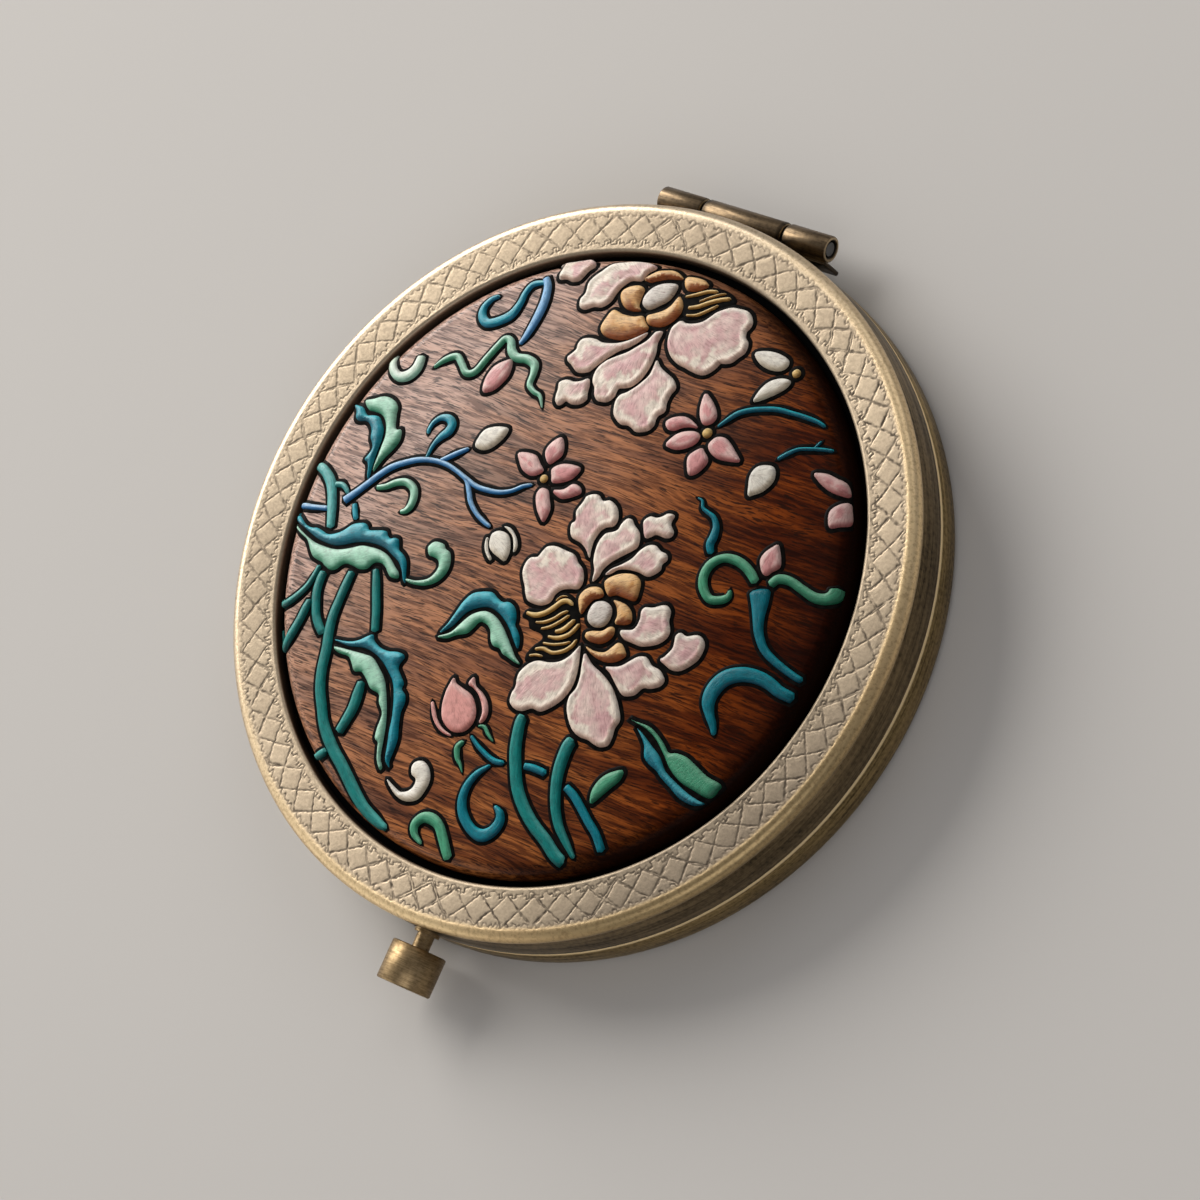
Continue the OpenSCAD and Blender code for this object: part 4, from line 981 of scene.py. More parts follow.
UPPER_PETALS = [
    (-8.5,26.5, -7.8,27.4, -6.7,27.9, -5.55,28.3, -4.2,28.5, -3.2,28.3, -3.75,27.5, -4,26.7, -5,26.4,
     -5.6,25.7, -5.9,24.9, -6.1,23.9, -6.7,23.2, -7.5,23, -8.3,22.5, -9,22.6, -9.3,23.3, -9.1,24, -9.3,25,
     -9,25.8),
    (-13.5,26.2, -12.8,25.8, -12.7,24.9, -12.4,24.5, -11.7,24.7, -11,24.65, -10.3,25, -9.9,26, -9.5,26.8,
     -10.8,27.4, -12.5,26.8),
    (1.8,24.3, 2.4,24.2, 3.2,24.4, 3.9,24.8, 4.4,25.4, 4.8,26, 5.4,26.5, 6.1,26.9, 6.9,27, 7.7,27,
     8.3,26.7, 8.7,26.2, 8.8,25.8, 8.7,25.4, 8.6,25.1, 8.8,24.6, 9.2,24.3, 9.4,23.8, 9.4,23.2, 9,22.6,
     8.6,22, 8,21.7, 7.6,21.6, 7.4,21.1, 7,20.5, 6.5,20.1, 5.8,20, 4.9,20.1, 4.3,20.2, 3.6,20.3, 2.8,20.6,
     2.2,21, 1.6,21.7, 1.3,22.5, 1.2,23.3, 1.4,23.8),
    (.5,22.8, -.1,22.6, -.3,22.2, -.6,21.5, -1.2,20.8, -1.9,20, -2.8,19.3, -3.6,18.6, -4.1,17.8, -4.2,17,
     -4,16.3, -3.5,15.8, -3.2,15.2, -2.7,14.8, -2.1,14.8, -1.5,15, -1.1,15.6, -1.1,16.2, -1,16.5, -.4,16.7,
     .2,17.1, .7,17.9, .9,18.7, 1.0,19.7, .9,20.7, .6,21.6, .6,22.4),
    (1.3,20.1, 1.3,19.4, 1.3,18.6, 1.0,17.9, .5,17.1, -.1,16.4, -.6,16, -.8,15.4, -.7,14.8, -.4,14.1,
     .1,13.7, .8,13.4, 1.5,13.5, 2,13.4, 2.5,13.2, 3.1,13.3, 3.8,13.7, 4.1,14.3, 4,14.9, 4.1,15.3,
     4.4,15.6, 4.5,16, 4.3,16.6, 4.3,17.4, 4.5,18.1, 4.2,18.6, 3.6,19, 2.7,19.3, 2,19.6),
    (-.9,22.3, -1.6,21.7, -2.3,21.1, -3.1,20.6, -3.9,20.3, -4.9,20.1, -5.7,20.2, -6.5,20.1, -7.1,19.8,
     -7.3,19.2, -7.2,18.7, -7.4,18.3, -7.7,17.8, -7.5,17.4, -7,17.2, -6.5,16.9, -6,16.7, -5.4,16.8,
     -4.8,17.1, -4.4,17.7, -4,18.3, -3.5,19, -2.8,19.8, -2,20.4, -1.3,21.2, -.9,21.9),
    (-4.5,16.5, -5.1,16.1, -5.8,15.8, -6.5,15.8, -7,15.6, -7.3,15.2, -7.1,14.6, -7,14, -6.8,13.5,
     -6.3,13.2, -5.9,13.5, -5.7,13.8, -5.1,13.7, -4.5,13.8, -4,14.1, -3.7,14.6, -3.9,15.1, -4.1,15.9),
]
CREAM_SHAPES = [
    (10.3,23.5, 11.1,24, 12.4,24.2, 13.6,24, 14,23.6, 13.9,23.05, 13.3,22.6, 12.2,22.5, 11.1,22.8),
    (12.3,19.3, 12.4,20.3, 12.9,21.4, 13.9,22.1, 14.9,22.15, 14.9,21.5, 14.2,20.6, 13.2,19.7, 12.6,19.3),
    (15.3,12.9, 15.55,13.75, 16.25,14.2, 17.1,14.3, 17.6,13.75, 17.7,12.9, 17.2,11.9, 16.5,11.3, 16,11.05,
     15.6,11.9),
    (-12.9,8, -12.6,8.9, -11.9,9.4, -11,9.7, -10.2,9.7, -10.2,8.9, -10.7,7.9, -11.4,7.2, -12.2,7,
     -12.85,7.2),
    (-6.95,0, -6.4,.55, -5.55,.6, -5,.3, -4.45,-.55, -4.3,-1.25, -4.4,-1.9, -5.1,-1.8, -6.1,-1.5, -6.7,-1),
    (-7.35,-.35, -7.2,-1.1, -6.75,-1.75, -6,-2.3, -5.85,-2.05, -6.5,-1.5, -6.95,-.8, -7.1,-.35),
    (-6.1,1.1, -5.3,1.15, -4.45,.65, -3.9,0, -3.75,-.55, -3.95,-.9, -4.2,-.35, -4.7,.4, -5.4,.8),
    (-6.95,-24, -6.1,-24.7, -5,-25.2, -3.9,-25.2, -2.9,-24.6, -2.5,-23.3, -2.6,-22.4, -3.2,-21.6, -4,-21.3,
     -4.7,-21.6, -4.9,-22.15, -4.6,-22.8, -4,-23.05, -3.9,-23.6, -4.2,-24.2, -5,-24.6, -5.8,-24.4),
]
PINK_A = [
    (7.5,18.6, 8.3,18.3, 9.2,17.6, 9.7,16.8, 9.45,16.1, 8.75,15.8, 8.05,16.4, 7.6,17.4),
    (5.05,14.95, 5.6,15.6, 6.7,16, 7.8,15.75, 8.4,15.35, 7.6,15.2, 6.9,14.9, 6.2,14.4, 5.5,14.4),
    (6.05,13, 6.4,13.9, 7.1,14.6, 8.2,15, 8.9,14.85, 9,14.2, 8.5,13.5, 7.5,12.9, 6.7,12.8),
    (9.65,13.8, 8.9,13.05, 8.75,12.4, 9.2,11.5, 9.65,11.05, 10.3,11.4, 10.8,12.4, 10.7,13.05, 10,13.6),
    (10.1,14.3, 10.5,15.1, 11.3,15.35, 12.1,15.05, 12.9,14.5, 13.8,13.75, 12.8,13.4, 11.5,13.3, 10.5,13.7),
]
PINK_B = [
    (-4.4,10.55, -5.1,9.9, -5.4,9, -5.1,8.3, -4.4,7.8, -3.9,8.3, -3.5,9, -3.75,9.9),
    (-8.05,7.85, -7.2,8.2, -6.1,8.2, -5.3,7.6, -4.65,7.1, -5.1,6.5, -5.8,6.25, -6.8,6.5, -7.5,7.1),
    (-3.9,7.5, -3.2,8.2, -2.1,8.5, -1.05,8.4, -1.3,7.4, -2.1,6.7, -3.2,6.3, -3.6,6.8),
    (-2.8,5.7, -1.8,6.1, -1.1,6.85, -.3,6.8, .1,6.3, -.55,5.7, -1.5,5.2, -2.4,5.35),
    (-4.05,5.55, -3.3,5.55, -2.8,4.9, -2.2,3.9, -2.3,2.65, -3.2,3.2, -3.9,4, -4.3,4.85),
]
PINK_BUDS = [
    (21,14.95, 22.2,15.3, 23.3,15.2, 24.4,15, 25.1,14, 24,13.8, 22.8,13.95, 21.7,14.4),
    (25.3,13.5, 25.8,12.9, 26.3,11.7, 25.4,11.1, 24.7,10.8, 24.2,11.4, 24,12.2, 24.4,12.9),
    (20.8,7.9, 21.25,7.4, 21.7,6.7, 21.9,6, 21.4,5.4, 21,4.9, 20.4,5.1, 19.8,6, 19.9,6.8, 20.35,7.5),
    (-13.2,15.9, -14,15.6, -14.8,14.8, -15.1,13.7, -15,12.7, -14.6,12.15, -13.7,12.6, -13.1,13.5,
     -12.8,14.6),
]
TULIP = [
    (-4.4,-13.3, -3.9,-13.7, -2.9,-13.95, -1.9,-14.2, -1.1,-14.9, -.6,-15.8, -.6,-16.7, -1.1,-17.5,
     -2.1,-17.9, -3.05,-17.7, -3.9,-17.1, -4.4,-16.1, -4.6,-15, -4.6,-14.4),
    (-2.4,-12.6, -1.8,-13.3, -.8,-13.7, 0,-14.3, .5,-15.2, .45,-16, 0,-16.3, -.1,-15.4, -.5,-14.7,
     -1.2,-14, -2,-13.6, -2.7,-13.4),
]
LOWER_SCALES = [
    (6.3,-.6, 6.8,.2, 7.8,.8, 8.9,1, 9.7,.6, 10,-.3, 10,-1.2, 9,-1.3, 8,-1.3, 7.2,-1.6),
    (5.4,-4, 4.6,-3, 4.5,-2.3, 4.9,-1.6, 5.6,-1.2, 6.3,-1.2, 6.8,-1.7, 6.5,-2.1, 6,-2.4, 5.7,-3.1),
    (7.9,-1.8, 8.6,-1.7, 9.4,-1.8, 10.1,-2.2, 10.5,-2.9, 10.4,-3.3, 9.8,-3.6, 9,-3.7, 8.9,-3, 8.5,-2.3),
    (6.6,-5.4, 7.2,-5, 8.1,-4.7, 8.7,-4.1, 9.2,-4.1, 9.4,-4.7, 9.1,-5.4, 8.4,-5.9, 7.4,-6, 6.8,-5.8),
    (7.2,-6.5, 8.2,-6.6, 9.2,-6.4, 9.7,-5.8, 10.1,-5.2, 10.6,-5.2, 11.1,-5.6, 11.4,-6.1, 10.8,-6.8,
     9.9,-7.2, 8.8,-7.2, 7.8,-6.9),
]
UPPER_SCALES = [
    (-3.9,26.95, -3.05,27.9, -2.2,28.3, -1.1,28.5, 0,28, -1.4,27.6, -2.5,27.1, -3,26.8, -3.5,26.8),
    (-5.4,24.7, -5.4,25.4, -4.7,26, -3.9,26.25, -3.3,26, -3.2,25.3, -3.05,24.4, -2.6,24, -3.6,23.7,
     -4.6,23.9),
    (-5.4,23.3, -4.2,23.2, -3.05,23.3, -2.2,23.6, -1.7,23.2, -1,22.6, -1.5,21.8, -2.5,21.1, -3.6,20.7,
     -5,20.7, -5.8,21.25, -5.8,22.2),
    (-1.8,23.7, -1.1,24.2, -.4,24.7, .05,25.3, .3,26.1, .5,26.4, 1.2,25.8, 1.4,24.9, 1,23.9, .3,23.2,
     -.6,22.95, -1.4,23.05),
    (.15,28.2, 1,28.5, 2.1,28.5, 2.8,28.05, 2.1,27.4, 1.1,27.1, .5,27.4),
]
OVALS = [
    (6,-3.4, 6.3,-2.5, 7.2,-2.15, 8.1,-2.5, 8.4,-3.4, 8.1,-4.3, 7.2,-4.65, 6.3,-4.3),
    (-3,25.4, -2.6,26.4, -1.7,27.1, -.4,27.4, -.1,26.9, -.3,25.8, -1,25, -1.9,24.3, -2.8,24.6),
]
NODES = [
    (9,15.2, 9.15,15.55, 9.5,15.7, 9.85,15.55, 10,15.2, 9.85,14.85, 9.5,14.7, 9.15,14.85),
    (-4.67,6.4, -4.55,6.7, -4.25,6.82, -3.95,6.7, -3.83,6.4, -3.95,6.1, -4.25,5.98, -4.55,6.1),
    (14.65,22.95, 14.8,23.25, 15.1,23.4, 15.4,23.25, 15.55,22.95, 15.4,22.65, 15.1,22.5, 14.8,22.65),
]
BLACK_PATCHES = [
    (-.3,-6, .5,-6.2, 1,-6.8, 2.3,-6.9, 2.6,-7.3, 2,-8.2, 1.7,-9.2, 2.2,-9.7, 4,-8.9, 5.4,-8.3, 6.2,-7,
     6.3,-6, 5.6,-4.6, 4.4,-3, 3.4,-2.6, 2.4,-2.8, 2.1,-3.6, 1.6,-4.6, 0,-5.1),
    (.6,26.2, 1.5,24.9, 2.4,24.5, 3.8,25.2, 4.8,26.3, 6.2,27.3, 5.6,28, 4.2,28.3, 2.6,28, 1.2,27.2),
]
TEAL_LEAVES = [
    (-7.85,-10, -7.4,-9, -7.1,-7.9, -6.8,-6.7, -6.25,-5.7, -5.4,-5.2, -4.3,-4.9, -3.5,-5.2, -2.8,-5.4,
     -2.1,-5.2, -1.25,-5.55, -.7,-6.4, -.55,-6.95, 0,-7.4, .5,-8, .75,-8.9, 0,-8.35, -.8,-7.6, -1.7,-6.95,
     -2.8,-6.45, -3.9,-6.3, -5,-6.7, -6,-7.5, -6.7,-8.9, -7.4,-9.7),
    (-18.6,-14, -17,-13.7, -16,-13.3, -15,-12.5, -14.6,-12.3, -14.2,-12.8, -13.2,-13.2, -12.2,-13.2,
     -11.4,-13, -10.6,-13, -10.3,-13.3, -10.5,-13.9, -10.4,-14.45, -9.3,-15.4, -9.2,-16, -8.6,-16.4,
     -8.3,-17.1, -8.3,-18.05, -7.9,-19.3, -7.5,-20.3, -7.4,-21.4, -7.4,-22.5, -7.1,-23.05, -7.9,-22.5,
     -8.3,-21.25, -8.7,-20, -9,-18.75, -9.6,-17.2, -10.4,-15.8, -11.5,-14.9, -12.5,-14.3, -13.6,-13.9,
     -15,-13.75, -16.8,-14.1),
    (-29.2,-4.1, -28.2,-4.4, -27.2,-4.9, -26.4,-5, -25.8,-4.85, -25,-4.95, -24.2,-5.05, -23.2,-4.6,
     -22.6,-4.1, -22.1,-3.5, -21.5,-3.15, -20.8,-2.95, -20.3,-3.1, -20,-3.4, -19.3,-3.25, -18.6,-3.05,
     -18,-3, -17.7,-3.3, -17.3,-3.5, -16.9,-3.3, -16.4,-3.3, -16.1,-3.7, -15.8,-4.2, -15.1,-4.5, -14.5,-5,
     -14,-6, -13.6,-6.9, -14,-6.7, -14.6,-5.9, -15.3,-5.3, -16.3,-4.9, -17.3,-4.55, -18.5,-4.45,
     -19.8,-4.6, -21,-5, -22,-5.5, -23,-5.85, -24.2,-5.9, -25.3,-5.8, -26.4,-5.5, -27.4,-5.2, -28.4,-4.9),
    (-28.3,7.3, -27.3,7.3, -26.7,7.2, -26,6.7, -25.3,6.85, -24.6,6.9, -24,6.5, -23.4,5.8, -23.1,4.8,
     -23,3.6, -22.8,2.3, -22.6,1.4, -22.5,.9, -22.9,1.3, -23.2,2, -23.6,2.5, -24,2.6, -23.8,3.2, -23.7,3.8,
     -24,4.3, -24.4,4.7, -24.7,5.4, -25.2,5.9, -25.8,6.1, -26.6,5.9, -27.1,6.1, -27.4,6.7),
    (15,-11.5, 16.1,-11.9, 17.2,-12.5, 18.5,-13.2, 19.6,-14.2, 21,-14.8, 22.5,-15.3, 23.6,-15.5,
     24.2,-15.55, 23.3,-16.1, 21.9,-16, 20.55,-15.4, 19.4,-14.9, 18.75,-14.5, 17.8,-14.2, 17.1,-13.75,
     16.7,-12.9, 16.25,-12.4, 15.4,-11.7),
]
GREEN_LEAVES = [
    (-7.9,-10.4, -6.7,-9.6, -6.1,-8.6, -5.4,-7.5, -4.4,-6.8, -3.5,-6.7, -2.5,-7, -1.4,-7.7, 0,-8.9,
     .8,-9.6, 1.6,-10.1, .9,-10.1, 0,-9.9, -.55,-9.8, -1.1,-9.45, -1.9,-9.4, -2.4,-8.9, -2.8,-8.2,
     -3.5,-7.8, -4.2,-7.85, -4.6,-8.6, -5,-9.2, -6,-9.7, -6.9,-10.3),
    (-18.3,-14.6, -16.5,-14.4, -14.6,-14.25, -13.6,-14.3, -12.4,-15, -11.4,-15.8, -10.6,-16.95, -9.9,-18.2,
     -9.3,-19.6, -8.95,-20.8, -8.5,-22.4, -7.9,-23.2, -8.05,-23.5, -8.75,-22.8, -9.2,-21.8, -9.4,-21.3,
     -9.9,-21, -10.1,-20, -10.2,-18.75, -11,-17.9, -11.4,-17.2, -12.5,-17, -13.3,-16.4, -14.2,-15.9,
     -15,-16.05, -15.6,-15.5, -16.3,-15, -17.6,-15),
    (-28.9,-5.1, -28,-5.4, -27,-5.75, -26.2,-6, -25.3,-6.2, -24.2,-6.25, -23,-6.2, -22,-5.95, -21,-5.5,
     -20,-5, -19,-4.85, -18,-4.8, -17,-4.95, -16.2,-5.3, -15.5,-5.75, -14.8,-6.2, -14.6,-6.7, -15.4,-6.85,
     -15.9,-6.6, -16.4,-6.2, -17,-5.95, -17.6,-6, -18,-6.3, -18.2,-6.7, -18.6,-7, -19.3,-7.15, -20.2,-7.05,
     -20.9,-7.1, -21.3,-7.4, -21.7,-7.9, -22.3,-8.15, -23,-8, -23.6,-7.75, -24.3,-7.65, -24.9,-7.5,
     -25.4,-7.1, -25.9,-6.6, -26.4,-6.2, -27.2,-5.95, -28.2,-5.5),
    (-26.9,7.9, -26,8.4, -25.3,8.8, -24.5,8.95, -23.6,8.75, -23,8.3, -22.8,7.7, -22.5,7, -22.2,6.4,
     -21.9,6.3, -21.5,6.4, -21.2,5.9, -21.1,5.2, -21.4,4.3, -21.9,3.3, -22.2,2.4, -22.4,1.8, -22.6,2.2,
     -22.7,3.3, -22.8,4.4, -22.9,5.3, -23.3,6.2, -23.8,6.8, -24.5,7.15, -25.3,7.2, -26.1,7.2),
    (-12.85,-2.9, -12.4,-2.35, -11.4,-2.3, -11,-2.65, -10.3,-2.9, -9.8,-3.9, -9.85,-4.9, -10.4,-5.8,
     -11.5,-6.5, -12.9,-6.75, -13.7,-6.65, -13.7,-6.45, -12.6,-6.3, -11.5,-5.8, -11,-5.1, -10.9,-4.4,
     -11.25,-3.9, -11.9,-3.75, -12.4,-3.75, -12.8,-3.3),
]
DEEP_LEAVES = [
    (14.2,-11.1, 15,-11.1, 16.4,-11.1, 17.5,-11.5, 18.5,-12.1, 19.2,-12.6, 19.9,-12.4, 21,-12.4,
     22.2,-12.8, 23.6,-13.3, 25,-13.5, 25,-14, 24.4,-15, 22.8,-14.9, 21.25,-14.6, 19.9,-13.9, 18.75,-12.9,
     17.4,-11.9, 16.1,-11.4),
    (13.9,-19.3, 13.55,-18.2, 13.9,-16.9, 14.7,-16, 15.7,-15.5, 15.8,-16.4, 15.1,-17.6, 14.4,-18.8),
]
STAMENS = [
    (2.4,-3.7,.15, 2.8,-3.1,.15, 3.4,-2.9,.15),
    (0,-5.55,.3, 1,-5.5,.5, 1.9,-5,.5, 2.6,-4.2,.5, 3.1,-3.5,.5, 3.7,-3.3,.45, 4.3,-3.5,.3),
    (1.3,-6.1,.2, 2.2,-5.8,.3, 3,-5.2,.3, 3.6,-4.5,.3, 4.1,-4.1,.2),
    (2.1,-6.5,.2, 3,-6,.3, 3.8,-5.2,.3, 4.4,-4.4,.25),
    (3.6,-6.3,.3, 4.3,-5.9,.45, 4.8,-5.2,.45, 5.1,-4.6,.35),
    (3.1,-6.9,.25, 4.2,-6.7,.4, 5.1,-6.1,.4, 5.5,-5.4,.4, 5.7,-4.8,.3),
    (2.9,-7.6,.2, 4,-7.4,.25, 5,-7,.25, 5.6,-6.6,.2),
    (2.4,-8.4,.25, 3.2,-8.05,.35, 4.3,-8.1,.35, 5.3,-7.6,.35, 5.9,-6.9,.35, 6.1,-6.2,.25),
    (2.1,-9.1,.2, 2.8,-8.8,.25, 3.5,-8.7,.2),
    (1,26.45,.2, 1.95,26.95,.33, 3.05,27.6,.33, 4,27.85,.25),
    (2.6,26.4,.15, 3.3,27,.2, 4.2,27.6,.2, 4.85,27.9,.15),
    (1.8,25.55,.3, 2.8,26,.4, 3.75,26.7,.4, 4.6,27.2,.4, 5.55,27.6,.3),
    (1.95,24.85,.2, 3.05,25.2,.28, 4,26,.28, 4.7,26.7,.2),
]
CREAM_STROKES = [
    (-26.4,13.2,.5, -26,12.2,.8, -25.3,11.4,.9, -24.4,11.1,1, -23.5,11.5,1.15, -23,12.3,1.15, -23,13.2,1,
     -23.1,13.7,.8),
]
SALMON_STROKES = [
    (-5.6,-16,.3, -5.1,-16.7,.4, -4.4,-17.5,.4, -3.4,-18.1,.35, -2.2,-18.3,.2),
]
BLUE_STEMS = [
    (-24.2,-1.7,.8, -23.3,-.6,.7, -22.4,.6,.65, -21.6,1.7,.65, -20.6,2.8,.65, -19.4,3.6,.6, -18,4.3,.55,
     -16.5,4.65,.5, -15,4.7,.5, -13.6,4.45,.45, -12.2,4.05,.5, -10.8,3.7,.5, -9.4,3.7,.5, -8.05,3.9,.45,
     -6.9,4.4,.4, -6,5.1,.4, -5.1,5.55,.3),
    (-15.8,4.8,.4, -15.1,5.35,.5, -14.2,6.1,.5, -13.3,6.8,.35),
    (-12.5,4.15,.4, -11.9,3.75,.45, -11.3,3.05,.5, -10.55,2.1,.5, -9.4,1.3,.45, -8.3,.85,.45, -7.4,.6,.35),
    (-25.5,-2.8,.5, -26.5,-3,.5, -27.5,-3.2,.55, -28.5,-3.3,.6, -28.9,-3.3,.6),
    (-14,24.3,.7, -13.3,23.5,.8, -12.9,22.2,.9, -12.8,21,.9, -12.85,19.6,.8, -13.05,18.2,.6,
     -13.3,17.5,.4),
]
AQUA_STROKES = [
    (-17.35,4.5,.3, -17.35,5.4,.35, -17.2,6.2,.45, -16.8,7,.7, -16.3,7.7,.9, -16.3,8.4,.9, -16.9,8.8,.8,
     -17.7,8.7,.6, -18.3,8.1,.45, -18.5,7.3,.4, -18.4,6.8,.35),
    (-13.3,23.9,.4, -14.3,23.65,.5, -15,23.2,.6, -15.3,22.3,.6, -15.3,21.2,.7, -15.6,20,.9, -16.5,19.1,.9,
     -17.7,18.5,.9, -18.6,18.9,.9, -18.9,19.8,.7, -18.5,20.8,.5, -17.8,21.3,.4),
    (-22.9,-1.5,.5, -22.4,-2.3,.55, -21.9,-2.95,.5),
]
TEAL_STEMS = [
    (10.15,16,.2, 10.7,16.8,.4, 11.5,17.8,.5, 12.6,18.5,.5, 13.9,19,.5, 15,19.3,.5, 16.4,19.4,.45,
     17.8,19.45,.45, 19.2,19.4,.4, 20.1,19.2,.3),
    (17.1,15,.35, 17.8,15.8,.4, 18.6,16.5,.35, 19.7,16.9,.35, 20.8,17.2,.35, 21.9,17.4,.35),
    (20,17,.2, 20.2,17.5,.25, 20.4,17.9,.2),
    (11.4,9.4,.15, 12,9.3,.25, 12.4,8.7,.35, 13.1,8.45,.4, 13.8,8.2,.5, 14.4,7.5,.65, 14.6,6.6,.8,
     14.6,5.8,.8, 15.1,5.05,.6),
    (20.95,3.7,2.2, 21.5,2.5,1.7, 22,1.2,1.15, 22.6,0,.9, 23.6,-1.1,.8, 24.7,-1.7,.75, 26.1,-2.15,.7,
     27.5,-2.5,.65, 28.3,-2.6,.6),
    (28.2,-4.3,1, 26.8,-4.2,1.1, 25.4,-3.8,1.2, 24,-3.7,1.3, 22.6,-4,1.4, 21.4,-4.8,1.5, 20.8,-6,1.5,
     20.8,-7.2,1.3, 21.4,-8.2,.9, 22.1,-9,.7, 22.6,-9.8,.4),
    (-.3,-17.6,.3, .4,-18,.4, 1.1,-18.35,.45, 2.35,-18.8,.5, 3.2,-18.95,.55, 4.15,-18.8,.45),
    (6.1,-18.4,.6, 7.2,-18.25,.7, 8.6,-18.3,.65),
    (10.9,-18.7,.7, 12.1,-19.2,.8, 13.3,-20,.8, 14.4,-20.8,.8, 15.6,-21.6,.8, 16.8,-22.8,.8),
    (2.9,-19.4,.3, 1.95,-20.5,.6, 1.45,-21.8,.75, 1.5,-23.2,.9, 2.2,-24.4,1, 3.5,-25.3,1, 4.7,-25.5,1.2,
     5.6,-24.9,1.1, 6,-23.9,1, 5.75,-23.1,.8, 4.85,-22.6,.3),
]
DARK_STEMS = [
    (4.15,-14.2,1, 4.05,-15,1.1, 4.6,-17.1,1.2, 5.4,-18.75,1.2, 6.4,-20.4,1.2, 7.8,-21.8,1.2,
     9.4,-22.9,1.2, 11.1,-23.75,1.2, 12.5,-24.6,1.2, 13.6,-25,1.1),
    (9.85,-14.6,1.1, 9.55,-15.4,1.2, 9.6,-17.1,1.2, 9.95,-18.75,1.1, 10.7,-20.55,1, 11.8,-22.1,.9,
     13.2,-23.3,.7, 14.45,-24.25,.4),
    (-19.8,-7.5,.75, -19.85,-9,.9, -19.85,-10.5,.9, -19.8,-12,1, -19.5,-13.5,1.05, -19,-15,1.1,
     -18.5,-17.1,1.1, -17.8,-18.75,1.1, -16.9,-20.1,1.1, -16,-21.4,1.1, -15,-22.4,1.2, -13.6,-23.5,1.2,
     -12.2,-24.4,1.2, -10.8,-25.4,1.2, -9.4,-26.4,1.2, -8.05,-27.2,1.1, -6.4,-27.8,1, -5,-28.1,.5),
    (-13.75,-16.6,.7, -13.6,-17.8,1.1, -13.5,-19.2,1.1, -13.7,-20.55,1, -13.95,-21.8,.9),
    (-14.4,-23.7,.8, -15,-24.2,.8, -15.8,-24.7,.7),
    (-17.45,-6.55,.6, -16.8,-7.6,.8, -16.1,-8.9,.85, -15.4,-10.2,.85, -14.55,-12.05,.8),
    (-23.65,-8,.5, -23.75,-9,.55, -24,-10.2,.6, -24.6,-11.3,.65, -25.3,-12.2,.7, -26,-12.6,.7,
     -26.7,-12.5,.6),
    (-22.85,-8.4,.8, -22.9,-9.3,.9, -22.7,-10.5,.9, -22.2,-11.6,.9, -21.6,-12.6,.9, -20.9,-13.3,.9,
     -20.1,-13.9,.8),
    (-23.1,-11.3,.6, -23.15,-12.3,.85, -23.25,-13.5,.85, -23.5,-15,.9, -23.75,-16.2,.8, -24.1,-16.8,.5),
    (-25.1,-14.9,.4, -24.7,-15.8,.5, -24.3,-16.5,.4),
]
PALE_TEAL_STEMS = [
    (-28.9,.7,.9, -27.8,.4,1, -26.6,-.4,1.1, -25.8,-1.5,1, -25.2,-2.6,1, -24.7,-3.6,.9, -24.3,-4.5,.8),
    (-26,-.5,.6, -25.2,-.3,.55, -24.6,-.5,.5, -24.1,-.9,.4),
]
GREEN_STROKES = [
    (-21.3,.5,.5, -20.3,.9,.6, -19.3,1.6,.7, -18.3,1.9,.75, -17.3,1.6,.8, -16.8,.9,.8, -16.7,0,.75,
     -17,-.6,.6, -17.6,-.9,.35),
    (-21.2,12.9,.3, -20.4,13.9,.6, -19.3,14.6,.7, -18.4,14.1,.7, -17.4,13.4,.7, -16.5,13.8,.7, -16,15.2,.7,
     -15.4,16.8,.7, -15,17.6,.7, -14.3,17.5,.8, -13.75,16.7,.9, -12.9,16.25,.9, -11.7,16.4,.9,
     -10.7,16.1,.9, -10.35,15.3,.7, -10.2,14.2,.6, -9.4,13.7,.5, -8.6,13.5,.4, -7.8,12.5,.15),
]
DEEP_STROKES = [
    (20.35,4,.8, 19.6,4.6,.9, 18.6,5.1,.9, 17.5,5.3,.9, 16.4,5.1,.8, 15.55,4.3,.9, 15.3,3.2,.9,
     15.7,2.1,.9, 16.7,1.3,.8, 17.6,1.4,.8, 18.4,1.95,.7, 18.3,2.7,.3),
    (21.7,4.2,.8, 22.2,5,.9, 23.3,5.2,.85, 24.7,4.9,.85, 26.1,4.6,.95, 27.2,4.8,1.1, 27.8,5.4,1.4,
     27.75,6.1,1.4),
    (-.8,-28.2,.3, -1.9,-27.6,.7, -2.2,-26.8,.9, -1.7,-26,1, -.8,-25.8,1.1, .2,-26.1,1, 1.1,-27,1,
     2.4,-28.5,.9),
    (0,-16.6,.15, .7,-16.45,.35, 1.4,-16.95,.35, 2.2,-17.4,.15),
    (-.7,-18.3,.4, -1.1,-19,.6, -.7,-19.9,.5, -.1,-20.4,.3, .4,-21,.1),
]


